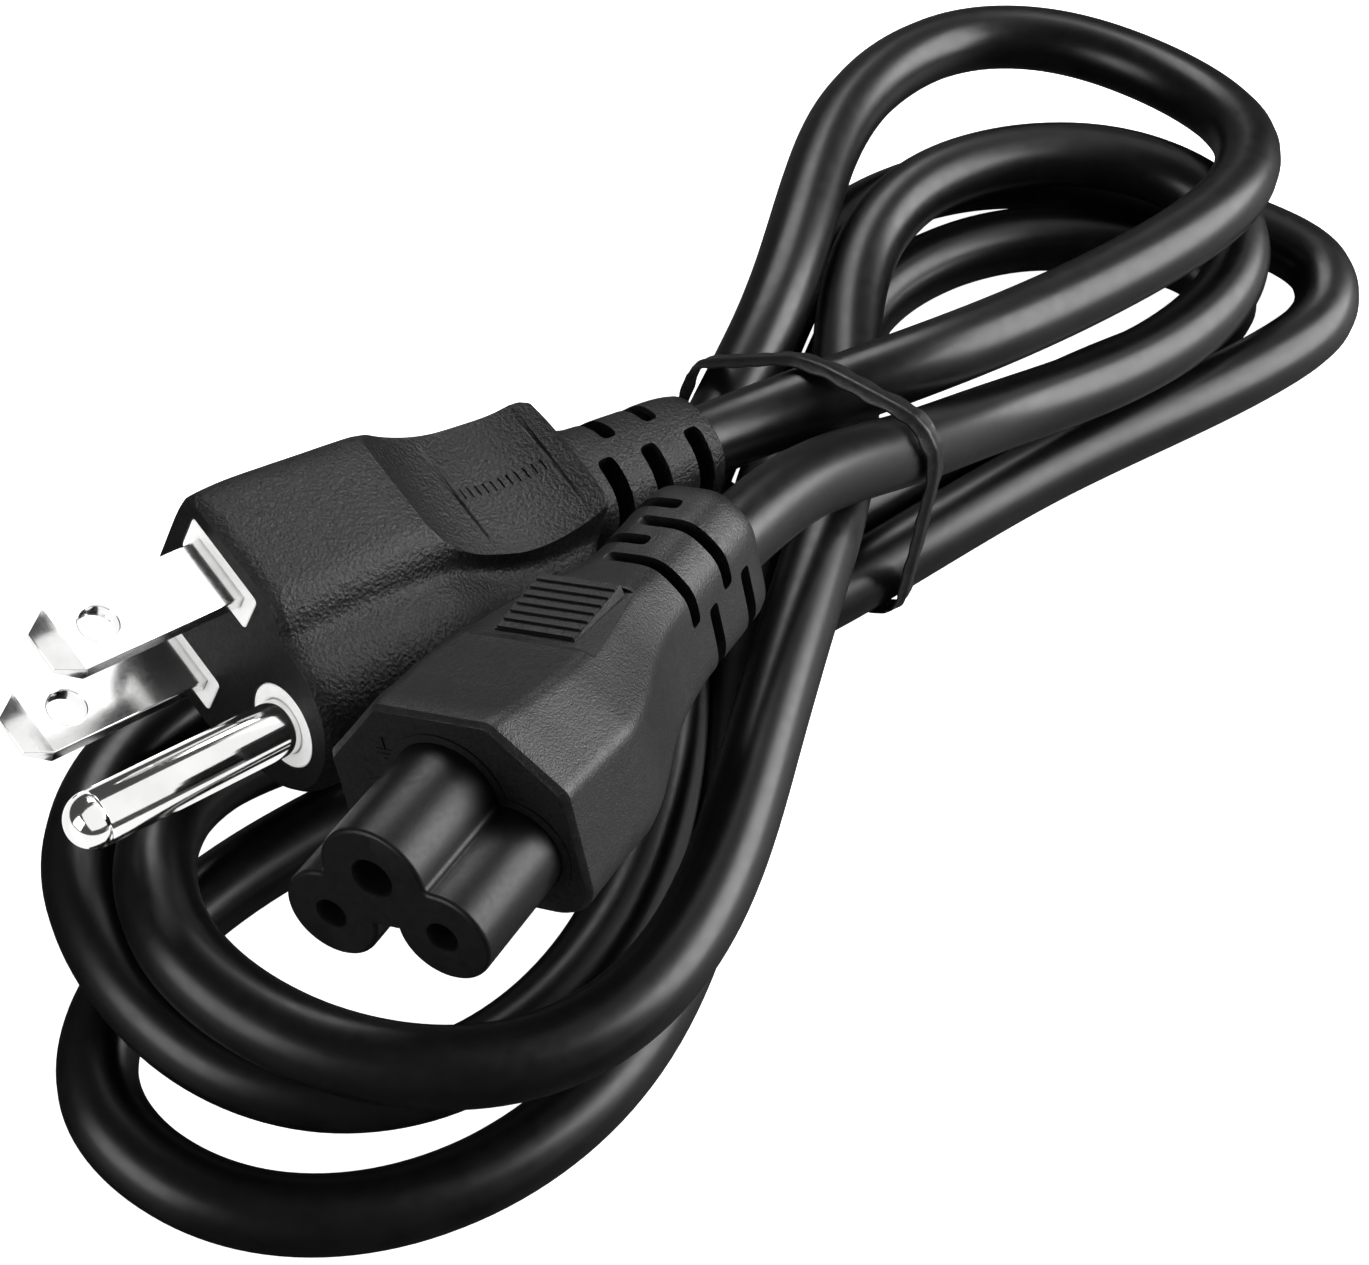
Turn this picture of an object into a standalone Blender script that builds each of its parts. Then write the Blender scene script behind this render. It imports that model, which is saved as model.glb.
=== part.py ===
"""Power cord with a three-pin mains plug and a three-hole appliance connector, folded and tied.

Lengths are written in millimetres and turned into metres when a mesh is made.
The world has +Z up, the floor at zero and the origin under the middle of the whole hank.
Each end is built in its own frame: z points out of its face, and the matrix below lays it down.
"""
import math

import bmesh
import bpy
import numpy as np
from mathutils import Matrix, Vector

MM = 0.001

# cord
CORD_D = 6.9
CORD_GAP = 0.3

# plug: two flat blades and a round earth pin
BLADE_SPACING = 12.7
BLADE_W = 6.35
BLADE_T = 1.52
BLADE_OUT = 17.2
BLADE_IN = 6.5
BLADE_TIP = 2.1
BLADE_HOLE_D = 3.9
BLADE_HOLE_Z = 11.9
PIN_D = 4.8
PIN_Y = 11.9
PIN_OUT = 21.0
PIN_IN = 6.5
FIT = 0.05

# connector: three lobes, two live holes and one earth hole
HOLE_X = 5.0
EARTH_Y = 4.5
SIDE_LOBE_R = 4.0
TOP_LOBE_R = 4.5
SIDE_HOLE_D = 2.4
EARTH_HOLE_D = 3.2
HOLE_DEPTH = 9.6
NOSE_OUT = 10.8
NOSE_IN = 5.0
LOBE_FILLET = 0.5

# where each end lies: columns are its x, y and z directions, then its face centre in millimetres
PLUG_AXES = ((-0.2095, 0.7726, -0.5993), (-0.0415, -0.6194, -0.7840), (-0.9769, -0.1393, 0.1618))
PLUG_AT = (-43.85, -38.60, 30.04)
CONN_AXES = ((0.8730, -0.3759, -0.3108), (-0.2136, 0.2783, -0.9364), (0.4385, 0.8839, 0.1627))
CONN_AT = (-20.71, -68.70, 41.05)

# where the tie goes round the bundle: far and near foot of its ring, on the floor plan
TIE_FAR = (-5.7, 12.9)
TIE_NEAR = (15.3, 0.9)
TIE_W = 2.4
TIE_T = 0.5
TIE_GAP = 0.40

# route of the cord's centre from the plug to the connector, millimetres
ROUTE = (
    (-11.9, -4.8, 21.7),
    (-2.2, 5.3, 20.8),
    (9.3, 13.8, 22.9),
    (20.9, 25.8, 21.7),
    (31.6, 38.8, 20.5),
    (39.0, 51.2, 19.3),
    (40.2, 60.8, 17.4),
    (36.6, 68.8, 14.6),
    (28.9, 74.5, 12.3),
    (18.9, 76.7, 11.0),
    (10.1, 74.4, 10.5),
    (3.0, 67.1, 11.2),
    (-1.8, 55.2, 12.4),
    (-3.3, 38.9, 13.8),
    (-4.4, 22.2, 13.6),
    (-7.2, 5.9, 11.2),
    (-6.7, -10.2, 12.2),
    (-3.8, -26.8, 12.9),
    (-3.6, -42.6, 12.6),
    (-7.6, -55.7, 12.3),
    (-14.9, -64.4, 11.8),
    (-24.0, -68.5, 11.6),
    (-34.0, -67.8, 11.5),
    (-43.2, -62.4, 11.5),
    (-49.1, -54.3, 11.3),
    (-50.1, -44.5, 10.1),
    (-46.4, -32.9, 7.2),
    (-37.7, -20.8, 4.2),
    (-25.7, -9.1, 4.2),
    (-14.0, 3.0, 4.4),
    (-6.2, 16.0, 4.4),
    (-3.3, 31.6, 4.2),
    (0.0, 45.8, 4.1),
    (7.3, 55.4, 4.1),
    (18.0, 61.8, 4.0),
    (31.9, 64.0, 4.1),
    (45.8, 62.4, 4.3),
    (52.2, 59.2, 4.5),
    (53.5, 53.2, 4.6),
    (49.3, 45.2, 4.8),
    (38.4, 33.2, 5.0),
    (26.7, 21.2, 5.1),
    (15.7, 8.4, 4.9),
    (4.5, -4.1, 4.1),
    (-7.7, -15.7, 3.9),
    (-19.7, -27.5, 4.1),
    (-31.5, -39.5, 4.0),
    (-40.8, -52.2, 4.0),
    (-44.0, -62.5, 3.9),
    (-42.4, -70.3, 3.8),
    (-36.2, -75.2, 3.8),
    (-27.0, -76.6, 3.7),
    (-16.5, -73.3, 3.6),
    (-6.9, -65.2, 3.5),
    (-0.3, -53.5, 3.7),
    (2.4, -39.1, 5.8),
    (1.6, -22.5, 8.5),
    (0.2, -6.1, 11.6),
    (0.1, 7.6, 10.4),
    (2.8, 22.6, 4.8),
    (5.2, 37.0, 3.6),
    (10.9, 46.3, 3.5),
    (20.8, 53.6, 3.5),
    (32.0, 56.3, 3.5),
    (39.7, 55.6, 3.5),
    (42.8, 51.9, 3.5),
    (40.5, 46.3, 3.6),
    (31.1, 36.9, 3.7),
    (19.7, 24.6, 4.0),
    (9.0, 11.6, 4.7),
    (-2.3, -0.9, 4.0),
    (-14.6, -12.3, 4.1),
    (-26.6, -24.1, 4.8),
    (-36.6, -35.4, 9.1),
    (-42.1, -45.9, 14.6),
    (-42.5, -55.0, 17.7),
    (-38.5, -62.4, 18.7),
    (-30.2, -67.1, 18.7),
    (-19.0, -68.3, 18.9),
    (-8.9, -65.0, 18.9),
    (-1.4, -57.6, 18.9),
    (2.9, -45.9, 19.0),
    (4.3, -29.3, 18.8),
    (5.2, -12.5, 17.7),
    (5.8, 4.2, 15.7),
    (4.3, 20.7, 13.1),
    (3.5, 36.4, 11.2),
    (6.7, 47.6, 11.0),
    (14.4, 55.9, 10.9),
    (24.7, 60.7, 10.8),
    (34.0, 60.8, 10.7),
    (40.2, 57.2, 10.7),
    (42.1, 50.4, 10.7),
    (39.1, 40.9, 11.1),
    (30.0, 28.3, 12.8),
    (19.1, 16.0, 16.4),
    (10.4, 3.3, 23.1),
    (1.9, -9.4, 30.0),
    (-4.7, -24.0, 33.8),
)


def clear_scene():
    """Removes whatever the startup file holds."""
    for obj in list(bpy.data.objects):
        bpy.data.objects.remove(obj, do_unlink=True)


def material(name, colour, rough, metal=0.0):
    """Plain material with one colour."""
    mat = bpy.data.materials.new(name)
    mat.use_nodes = True
    shader = mat.node_tree.nodes["Principled BSDF"]
    shader.inputs["Base Color"].default_value = (*colour, 1.0)
    shader.inputs["Roughness"].default_value = rough
    shader.inputs["Metallic"].default_value = metal
    return mat


def placed(axes, at):
    """Matrix that lays an end's own frame into the world."""
    rows = [(*axes[i], at[i] * MM) for i in range(3)]
    mat = Matrix((*rows, (0.0, 0.0, 0.0, 1.0)))
    rot = mat.to_3x3()
    z = rot.col[2].normalized()
    x = (rot.col[0] - z * rot.col[0].dot(z)).normalized()
    y = z.cross(x)
    out = Matrix((x, y, z)).transposed().to_4x4()
    out.translation = mat.translation
    return out


def solid(name, verts, faces, mat=None, place=None):
    """Closed mesh from millimetre points, with its faces turned outward."""
    mesh = bpy.data.meshes.new(name)
    mesh.from_pydata([tuple(c * MM for c in v) for v in verts], [], faces)
    bm = bmesh.new()
    bm.from_mesh(mesh)
    bmesh.ops.remove_doubles(bm, verts=bm.verts, dist=0.00002)
    bmesh.ops.recalc_face_normals(bm, faces=bm.faces)
    bm.to_mesh(mesh)
    bm.free()
    obj = bpy.data.objects.new(name, mesh)
    bpy.context.scene.collection.objects.link(obj)
    if mat:
        mesh.materials.append(mat)
    if place:
        obj.matrix_world = place
    return obj


def loft(name, rings, mat=None, place=None):
    """Skin through closed rings that have the same number of points."""
    n = len(rings[0])
    verts = [p for ring in rings for p in ring]
    faces = []
    for i in range(len(rings) - 1):
        for j in range(n):
            k = (j + 1) % n
            faces.append((i * n + j, i * n + k, (i + 1) * n + k, (i + 1) * n + j))
    faces.append(tuple(range(n)))
    faces.append(tuple((len(rings) - 1) * n + j for j in reversed(range(n))))
    return solid(name, verts, faces, mat, place)


def rounded(corners, z, steps=5):
    """Ring of a convex outline: each corner is (x, y, radius), rounded with a few points."""
    out = []
    n = len(corners)
    for i in range(n):
        px, py, r = corners[i]
        a = Vector((corners[i - 1][0] - px, corners[i - 1][1] - py)).normalized()
        b = Vector((corners[(i + 1) % n][0] - px, corners[(i + 1) % n][1] - py)).normalized()
        half = math.acos(max(-1.0, min(1.0, a.dot(b)))) / 2
        back = r / math.tan(half)
        p0 = Vector((px, py)) + a * back
        p1 = Vector((px, py)) + b * back
        mid = Vector((px, py)) + (a + b).normalized() * (r / math.sin(half))
        a0 = math.atan2(p0.y - mid.y, p0.x - mid.x)
        a1 = math.atan2(p1.y - mid.y, p1.x - mid.x)
        turn = (a1 - a0 + math.pi) % (2 * math.pi) - math.pi
        for k in range(steps + 1):
            t = a0 + turn * k / steps
            out.append((mid.x + r * math.cos(t), mid.y + r * math.sin(t), z))
    return out


def disc(cx, cy, r, z, n=32):
    """Round ring of points."""
    return [(cx + r * math.cos(2 * math.pi * k / n), cy + r * math.sin(2 * math.pi * k / n), z) for k in range(n)]


def rod(name, cx, cy, r, z0, z1, n=32):
    """Straight cylinder along z."""
    return loft(name, [disc(cx, cy, r, z0, n), disc(cx, cy, r, z1, n)])


def block(name, x0, x1, y0, y1, z0, z1, r=0.0):
    """Box, with rounded edges along z when r is given."""
    if r > 0:
        ring = ((x0, y0, r), (x1, y0, r), (x1, y1, r), (x0, y1, r))
        return loft(name, [rounded(ring, z0, 3), rounded(ring, z1, 3)])
    ring = [(x0, y0), (x1, y0), (x1, y1), (x0, y1)]
    return loft(name, [[(x, y, z0) for x, y in ring], [(x, y, z1) for x, y in ring]])


def combine(target, tool, how):
    """Boolean of one helper with the target, after which the helper is removed."""
    mod = target.modifiers.new("b", "BOOLEAN")
    mod.operation = how
    mod.solver = "EXACT"
    mod.object = tool
    dg = bpy.context.evaluated_depsgraph_get()
    mesh = bpy.data.meshes.new_from_object(target.evaluated_get(dg))
    target.modifiers.remove(mod)
    old = target.data
    target.data = mesh
    bpy.data.meshes.remove(old)
    bpy.data.objects.remove(tool, do_unlink=True)
    return target


def finish(obj, mat, place):
    """Cleans slivers, sets the material and lays the node into the world."""
    bm = bmesh.new()
    bm.from_mesh(obj.data)
    bmesh.ops.remove_doubles(bm, verts=bm.verts, dist=0.00001)
    bmesh.ops.dissolve_degenerate(bm, edges=bm.edges, dist=0.00001)
    bmesh.ops.recalc_face_normals(bm, faces=bm.faces)
    bm.to_mesh(obj.data)
    bm.free()
    obj.data.materials.clear()
    obj.data.materials.append(mat)
    obj.matrix_world = place
    return obj


# plug

# z, half width, blade side, lip side, corner radii of both; then half width and end of the pin's lobe
PLUG_RINGS = (
    (0.0, 9.8, -6.2, 8.6, 2.4, 4.0, 8.4, 17.2),
    (-0.7, 10.3, -6.6, 9.0, 2.8, 4.2, 8.8, 17.7),
    (-3.0, 10.5, -6.7, 9.0, 3.0, 4.2, 9.0, 18.0),
    (-8.0, 10.6, -6.4, 9.0, 3.0, 4.2, 9.0, 18.0),
    (-12.0, 10.6, -6.1, 9.0, 3.0, 4.2, 8.8, 17.6),
    (-15.0, 10.4, -5.9, 8.8, 2.8, 4.0, 8.4, 17.1),
    (-17.0, 10.1, -5.7, 8.6, 2.4, 3.6, 7.9, 16.7),
    (-19.0, 9.9, -5.0, 8.5, 1.8, 3.0, 7.1, 16.2),
    (-21.0, 9.6, -4.6, 8.8, 1.4, 2.4, 6.2, 15.6),
    (-23.0, 9.4, -4.2, 9.2, 1.2, 1.9, 5.4, 14.9),
    (-25.5, 9.2, -3.8, 9.8, 1.2, 1.5, 4.8, 14.2),
    (-28.0, 9.0, -3.5, 10.1, 1.2, 1.3, 4.5, 13.5),
    (-31.0, 8.7, -3.0, 10.2, 1.1, 1.1, 4.3, 12.8),
    (-34.6, 8.4, -2.4, 10.1, 1.0, 1.0, 4.2, 12.0),
    (-35.2, 7.9, -2.0, 9.8, 1.0, 1.0, 4.0, 11.4),
    (-35.9, 6.6, -1.0, 9.9, 1.8, 2.6, 4.0, 10.0),
    (-37.0, 6.2, -0.7, 10.4, 2.0, 3.0, 4.0, 10.2),
    (-44.0, 5.9, 0.1, 10.6, 2.2, 3.0, 4.0, 10.4),
    (-50.4, 5.6, 0.6, 10.4, 2.4, 3.0, 4.0, 10.2),
    (-51.4, 5.4, 0.8, 10.2, 2.5, 2.9, 4.0, 10.0),
    (-51.9, 4.9, 1.2, 9.7, 2.4, 2.6, 4.0, 9.6),
)
SCOOP_R = 15.5
SCOOP_X = 21.8
SCOOP_Z = -26.8
SLOT_W = 2.0
SLOT_FLOOR = 0.45


def polar(outlines, centre, z, count):
    """Outer outline of one or more flat shapes, at even angles round a centre that lies in all of them."""
    a = np.concatenate([np.array(o, float)[:, :2] for o in outlines]) - centre
    b = np.concatenate([np.roll(np.array(o, float)[:, :2], -1, axis=0) for o in outlines]) - centre
    e = b - a
    ring = []
    for t in np.linspace(-math.pi, math.pi, count, endpoint=False):
        d = np.array((math.cos(t), math.sin(t)))
        det = d[0] * e[:, 1] - d[1] * e[:, 0]
        ok = np.abs(det) > 1e-9
        det = np.where(ok, det, 1.0)
        far = (a[:, 0] * e[:, 1] - a[:, 1] * e[:, 0]) / det
        along = (a[:, 0] * d[1] - a[:, 1] * d[0]) / det
        ok &= (far > 0) & (along > -1e-6) & (along < 1.000001)
        r = far[ok].max()
        ring.append((centre[0] + r * d[0], centre[1] + r * d[1], z))
    return ring


def plug_section(z, hx, y0, y1, r0, r1, lobe, y2):
    """One slice of the plug: the wide blade part joined with the narrower round lobe of the earth pin."""
    wide = rounded(((-hx, y0, r0), (hx, y0, r0), (hx, y1, r1), (-hx, y1, r1)), z, 6)
    round_r = min(lobe * 0.97, (y2 - 1.0) / 2)
    pin = rounded(((-lobe, 1.0, 0.5), (lobe, 1.0, 0.5), (lobe, y2, round_r), (-lobe, y2, round_r)), z, 9)
    return polar((wide, pin), np.array((0.0, 4.5)), z, 64)


def plug_body():
    """Moulded body: wide blade part, lobe of the pin, finger scoops on both sides, slotted strain relief."""
    body = loft("plug_body", [plug_section(*row) for row in PLUG_RINGS])
    for side in (-1, 1):
        ring = [(side * SCOOP_X + SCOOP_R * math.cos(2 * math.pi * k / 72),
                 SCOOP_Z + SCOOP_R * math.sin(2 * math.pi * k / 72)) for k in range(72)]
        tool = loft("scoop", [[(x, y, z) for x, z in ring] for y in (-30.0, 30.0)])
        combine(body, tool, "DIFFERENCE")
    # cuts of the strain relief stop short of the cord, on the wide sides and on the blade side
    bore = CORD_D / 2 + CORD_GAP
    inner = bore + SLOT_FLOOR
    w = SLOT_W / 2
    for side in (-1, 1):
        for z in (-38.6, -43.4, -48.3):
            tool = block("slot", min(side * inner, side * 9.0), max(side * inner, side * 9.0), 4.2, 14.0, z - w, z + w)
            combine(body, tool, "DIFFERENCE")
    for z in (-41.6, -47.0):
        tool = block("slot", -4.8, -0.4, -6.0, 4.9 - inner, z - w, z + w)
        combine(body, tool, "DIFFERENCE")
    # cord entry
    cord_way(body, "plug")
    # seats of the insert, the blades and the pin
    for tool in insert_shape(FIT):
        combine(body, tool, "DIFFERENCE")
    return body


def insert_shape(grow):
    """Pieces of the white insert, grown by a clearance when they cut its seat."""
    g = grow
    top = 1.0 if grow else 0.0
    out = [
        block("plate", -8.9 - g, 8.9 + g, -4.5 - g, 6.6 + g, -9.5 - g, -5.0 + g),
        block("plate", -5.2 - g, 5.2 + g, 5.0, 13.2 + g, -9.5 - g, -5.0 + g),
    ]
    for side in (-1, 1):
        cx = side * BLADE_SPACING / 2
        out.append(block("boss", cx - 2.1 - g, cx + 2.1 + g, -4.6 - g, 4.6 + g, -5.5, top))
    out.append(rod("boss", 0.0, PIN_Y, 3.8 + g, -9.2 - g, top))
    return out


def plug_insert():
    """White insert: a plate inside, with a boss round each blade and round the pin."""
    parts = insert_shape(0.0)
    base = parts[0]
    base.name = "plug_insert"
    for tool in parts[1:]:
        combine(base, tool, "UNION")
    for side in (-1, 1):
        cx = side * BLADE_SPACING / 2
        half_t = BLADE_T / 2 + FIT
        half_w = BLADE_W / 2 + FIT
        tool = block("seat", cx - half_t, cx + half_t, -half_w, half_w, -BLADE_IN - FIT, 2.0)
        combine(base, tool, "DIFFERENCE")
    tool = rod("seat", 0.0, PIN_Y, PIN_D / 2 + FIT, -PIN_IN - FIT, 2.0)
    return combine(base, tool, "DIFFERENCE")


def blade(name, side):
    """Flat blade with a hole and a tip that is bevelled on all four sides."""
    cx = side * BLADE_SPACING / 2
    t = BLADE_T / 2
    w = BLADE_W / 2
    rings = [
        (t, w, -BLADE_IN),
        (t, w, BLADE_OUT - BLADE_TIP),
        (t * 0.42, w - 1.35, BLADE_OUT),
    ]
    body = loft(name, [[(cx - a, -b, z), (cx + a, -b, z), (cx + a, b, z), (cx - a, b, z)] for a, b, z in rings])
    ring = [(BLADE_HOLE_D / 2 * math.cos(2 * math.pi * k / 36), BLADE_HOLE_Z
             + BLADE_HOLE_D / 2 * math.sin(2 * math.pi * k / 36)) for k in range(36)]
    tool = loft("hole", [[(x, y, z) for y, z in ring] for x in (cx - 2.0, cx + 2.0)])
    return combine(body, tool, "DIFFERENCE")


def earth_pin():
    """Round pin with a domed tip."""
    r = PIN_D / 2
    rings = [disc(0.0, PIN_Y, r, -PIN_IN)]
    for k in range(7):
        t = math.pi / 2 * k / 7
        rings.append(disc(0.0, PIN_Y, r * math.cos(t) * 0.98 + r * 0.02, PIN_OUT - r + r * math.sin(t)))
    return loft("ground_pin", rings)


# connector

# z behind the face, half width, top, bottom, half width of the top flat, height of the shoulder,
# corner radius above and below, sideways shift
CONN_RINGS = (
    (0.0, 10.4, 11.1, -5.9, 5.0, 5.6, 0.9, 3.2, 0.0),
    (-0.5, 10.8, 11.4, -6.2, 5.2, 5.9, 1.1, 3.4, 0.0),
    (-5.0, 10.8, 10.6, -6.2, 5.8, 5.5, 1.2, 3.4, 0.0),
    (-9.7, 10.9, 9.8, -6.2, 6.1, 5.1, 1.3, 3.3, 0.0),
    (-12.1, 10.4, 9.4, -6.2, 6.0, 4.9, 1.5, 3.2, 0.0),
    (-15.9, 9.0, 9.0, -6.1, 5.4, 4.8, 1.7, 3.0, 0.1),
    (-19.6, 7.5, 8.6, -5.9, 4.6, 4.8, 1.9, 2.8, 0.2),
    (-22.6, 6.5, 8.3, -5.7, 3.9, 4.8, 2.0, 2.6, 0.4),
    (-25.6, 5.8, 7.8, -5.5, 3.3, 4.6, 2.0, 2.5, 0.7),
    (-28.0, 5.5, 7.4, -5.4, 3.1, 4.5, 2.0, 2.4, 0.8),
    (-38.2, 5.4, 7.2, -5.3, 3.0, 4.4, 2.0, 2.4, 0.8),
    (-39.2, 5.2, 7.0, -5.1, 2.8, 4.2, 1.9, 2.3, 0.8),
    (-39.7, 4.7, 6.5, -4.6, 2.5, 3.9, 1.8, 2.0, 0.8),
)
CONN_SLOT_W = 1.4


def conn_section(z, hw, top, bottom, flat, shoulder, r_top, r_low, xo):
    """One slice of the connector: a box with its two upper corners cut off and its lower ones rounded."""
    corners = (
        (xo - hw, bottom, r_low), (xo + hw, bottom, r_low), (xo + hw, shoulder, r_top),
        (xo + flat, top, r_top), (xo - flat, top, r_top), (xo - hw, shoulder, r_top),
    )
    return polar((rounded(corners, z, 5),), np.array((xo, 1.0)), z, 64)


def connector_body():
    """Moulded body behind the nose, with a ribbed finger pad and a slotted strain relief."""
    body = loft("connector_body", [conn_section(row[0] - NOSE_OUT, *row[1:]) for row in CONN_RINGS])
    # ribbed pad on the upper face
    for k in range(7):
        z = -26.0 - k * 1.1
        y = float(np.interp(-z - NOSE_OUT, [-row[0] for row in CONN_RINGS], [row[2] for row in CONN_RINGS]))
        half = 3.5 + 0.03 * k
        combine(body, block("rib", -half, half, y - 2.0 - 0.1 * k, y + 0.4, z - 0.3, z + 0.3), "UNION")
    # cuts of the strain relief go round one pair of opposite corners, then round the other pair
    w = CONN_SLOT_W / 2
    core_r = CORD_D / 2 + CORD_GAP + SLOT_FLOOR
    above = ((-0.3, 14.0, 2.2, 14.0), (-14.0, 1.9, -14.0, -0.8))
    below = ((-14.0, 0.7, 2.4, 14.0), (0.9, 14.0, -14.0, 2.4))
    for z, corners in ((-38.5, above), (-41.4, below), (-44.2, above), (-47.0, below)):
        for x0, x1, y0, y1 in corners:
            tool = block("slot", x0, x1, y0, y1, z - w, z + w)
            combine(tool, rod("core", 1.2, 0.2, core_r, z - 3.0, z + 3.0), "DIFFERENCE")
            combine(body, tool, "DIFFERENCE")
    cord_way(body, "conn")
    seat = nose_solid("seat", FIT, -NOSE_OUT - NOSE_IN - FIT, -NOSE_OUT + 1.0)
    combine(body, seat, "DIFFERENCE")
    return body


def nose_outline(grow):
    """Outline of the three lobes, walked anticlockwise, grown by a clearance."""
    pts = []

    def arc(cx, cy, r, a0, a1, n):
        for k in range(n + 1):
            t = math.radians(a0 + (a1 - a0) * k / n)
            pts.append((cx + r * math.cos(t), cy + r * math.sin(t)))

    # right half: side lobe from the notch round to the top, small hollow, then the top lobe
    side_r = SIDE_LOBE_R + grow
    start = 180.0 + math.degrees(math.asin(grow / side_r))
    arc(HOLE_X, 0.0, side_r, start, 450.0, 26)
    arc(HOLE_X, EARTH_Y, LOBE_FILLET - grow, 270.0, 180.0, 4)
    arc(0.0, EARTH_Y, TOP_LOBE_R + grow, 0.0, 90.0, 10)
    left = [(-x, y) for x, y in reversed(pts[:-1])]
    return pts + left


def nose_solid(name, grow, z0, z1):
    """Straight prism of the three-lobed outline."""
    ring = nose_outline(grow)
    return loft(name, [[(x, y, z) for x, y in ring] for z in (z0, z1)])


def connector_nose():
    """Rigid three-lobed nose with one round hole in each lobe."""
    nose = nose_solid("connector_nose", 0.0, -NOSE_OUT - NOSE_IN, 0.0)
    for cx, cy, d in hole_places():
        combine(nose, rod("hole", cx, cy, d / 2, -HOLE_DEPTH, 1.0, 28), "DIFFERENCE")
    return nose


def hole_places():
    """Centre and width of each hole."""
    return ((-HOLE_X, 0.0, SIDE_HOLE_D), (HOLE_X, 0.0, SIDE_HOLE_D), (0.0, EARTH_Y, EARTH_HOLE_D))


def sleeve(name, cx, cy, d):
    """Thin metal sleeve deep inside a hole."""
    r1 = d / 2 - FIT
    r0 = r1 - 0.3
    n = 28
    z0, z1 = -9.0, -2.6
    verts = disc(cx, cy, r1, z0, n) + disc(cx, cy, r1, z1, n) + disc(cx, cy, r0, z1, n) + disc(cx, cy, r0, z0, n)
    faces = []
    for ring in range(4):
        for j in range(n):
            k = (j + 1) % n
            a = ring * n
            b = ((ring + 1) % 4) * n
            faces.append((a + j, a + k, b + k, b + j))
    return solid(name, verts, faces)


# cord and tie

def smooth(points, per=12):
    """Natural cubic curve through the route points."""
    p = np.array(points, float)
    n = len(p)
    h = np.linalg.norm(np.diff(p, axis=0), axis=1) ** 0.75
    a = np.zeros((n, n))
    b = np.zeros((n, 3))
    a[0, 0] = a[-1, -1] = 1.0
    for i in range(1, n - 1):
        a[i, i - 1] = h[i - 1]
        a[i, i] = 2 * (h[i - 1] + h[i])
        a[i, i + 1] = h[i]
        b[i] = 6 * ((p[i + 1] - p[i]) / h[i] - (p[i] - p[i - 1]) / h[i - 1])
    s = np.linalg.solve(a, b)
    out = []
    for i in range(n - 1):
        for k in range(per):
            t = k / per * h[i]
            c3 = (s[i + 1] - s[i]) / (6 * h[i])
            c2 = s[i] / 2
            c1 = (p[i + 1] - p[i]) / h[i] - h[i] * (2 * s[i] + s[i + 1]) / 6
            out.append(p[i] + t * c1 + t * t * c2 + t ** 3 * c3)
    out.append(p[-1])
    return np.array(out)


def even(path, count):
    """Points along a path, closer together where it bends."""
    seg = np.linalg.norm(np.diff(path, axis=0), axis=1)
    s = np.concatenate([[0.0], np.cumsum(seg)])
    tang = np.gradient(path, s, axis=0)
    tang /= np.linalg.norm(tang, axis=1)[:, None]
    bend = np.linalg.norm(np.gradient(tang, s, axis=0), axis=1)
    dens = np.clip(np.sqrt(bend), 0.12, 0.40)
    cum = np.concatenate([[0.0], np.cumsum((dens[1:] + dens[:-1]) / 2 * seg)])
    q = np.interp(np.linspace(0.0, cum[-1], count), cum, s)
    return np.stack([np.interp(q, s, path[:, i]) for i in range(3)], axis=1)


def tube(name, path, d, mat, res=3):
    """Round cord as a curve with filled ends."""
    curve = bpy.data.curves.new(name, "CURVE")
    curve.dimensions = "3D"
    curve.bevel_depth = d / 2 * MM
    curve.bevel_resolution = res
    curve.use_fill_caps = True
    line = curve.splines.new("POLY")
    line.points.add(len(path) - 1)
    for pt, co in zip(line.points, path):
        pt.co = (*[c * MM for c in co], 1.0)
    obj = bpy.data.objects.new(name, curve)
    bpy.context.scene.collection.objects.link(obj)
    curve.materials.append(mat)
    return obj


def cord_way(body, which):
    """Leaves room for the cord's end inside a moulding."""
    place = placed(PLUG_AXES, PLUG_AT) if which == "plug" else placed(CONN_AXES, CONN_AT)
    inv = place.inverted()
    path = smooth(ROUTE)
    path = path if which == "plug" else path[::-1]
    seg = np.linalg.norm(np.diff(path, axis=0), axis=1)
    far = int(np.searchsorted(np.cumsum(seg), 24.0))
    local = [inv @ (Vector(p) * MM) / MM for p in path[:far:4]]
    first = local[0] + (local[0] - local[1]).normalized() * CORD_GAP
    local = [first] + local
    r = CORD_D / 2 + CORD_GAP
    rings = []
    for i, c in enumerate(local):
        d = (local[min(i + 1, len(local) - 1)] - local[max(i - 1, 0)]).normalized()
        u = d.cross(Vector((1.0, 0.0, 0.0))).normalized()
        v = d.cross(u)
        rings.append([tuple(c + u * (r * math.cos(2 * math.pi * k / 32)) + v * (r * math.sin(2 * math.pi * k / 32)))
                      for k in range(32)])
    combine(body, loft("way", rings), "DIFFERENCE")


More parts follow.
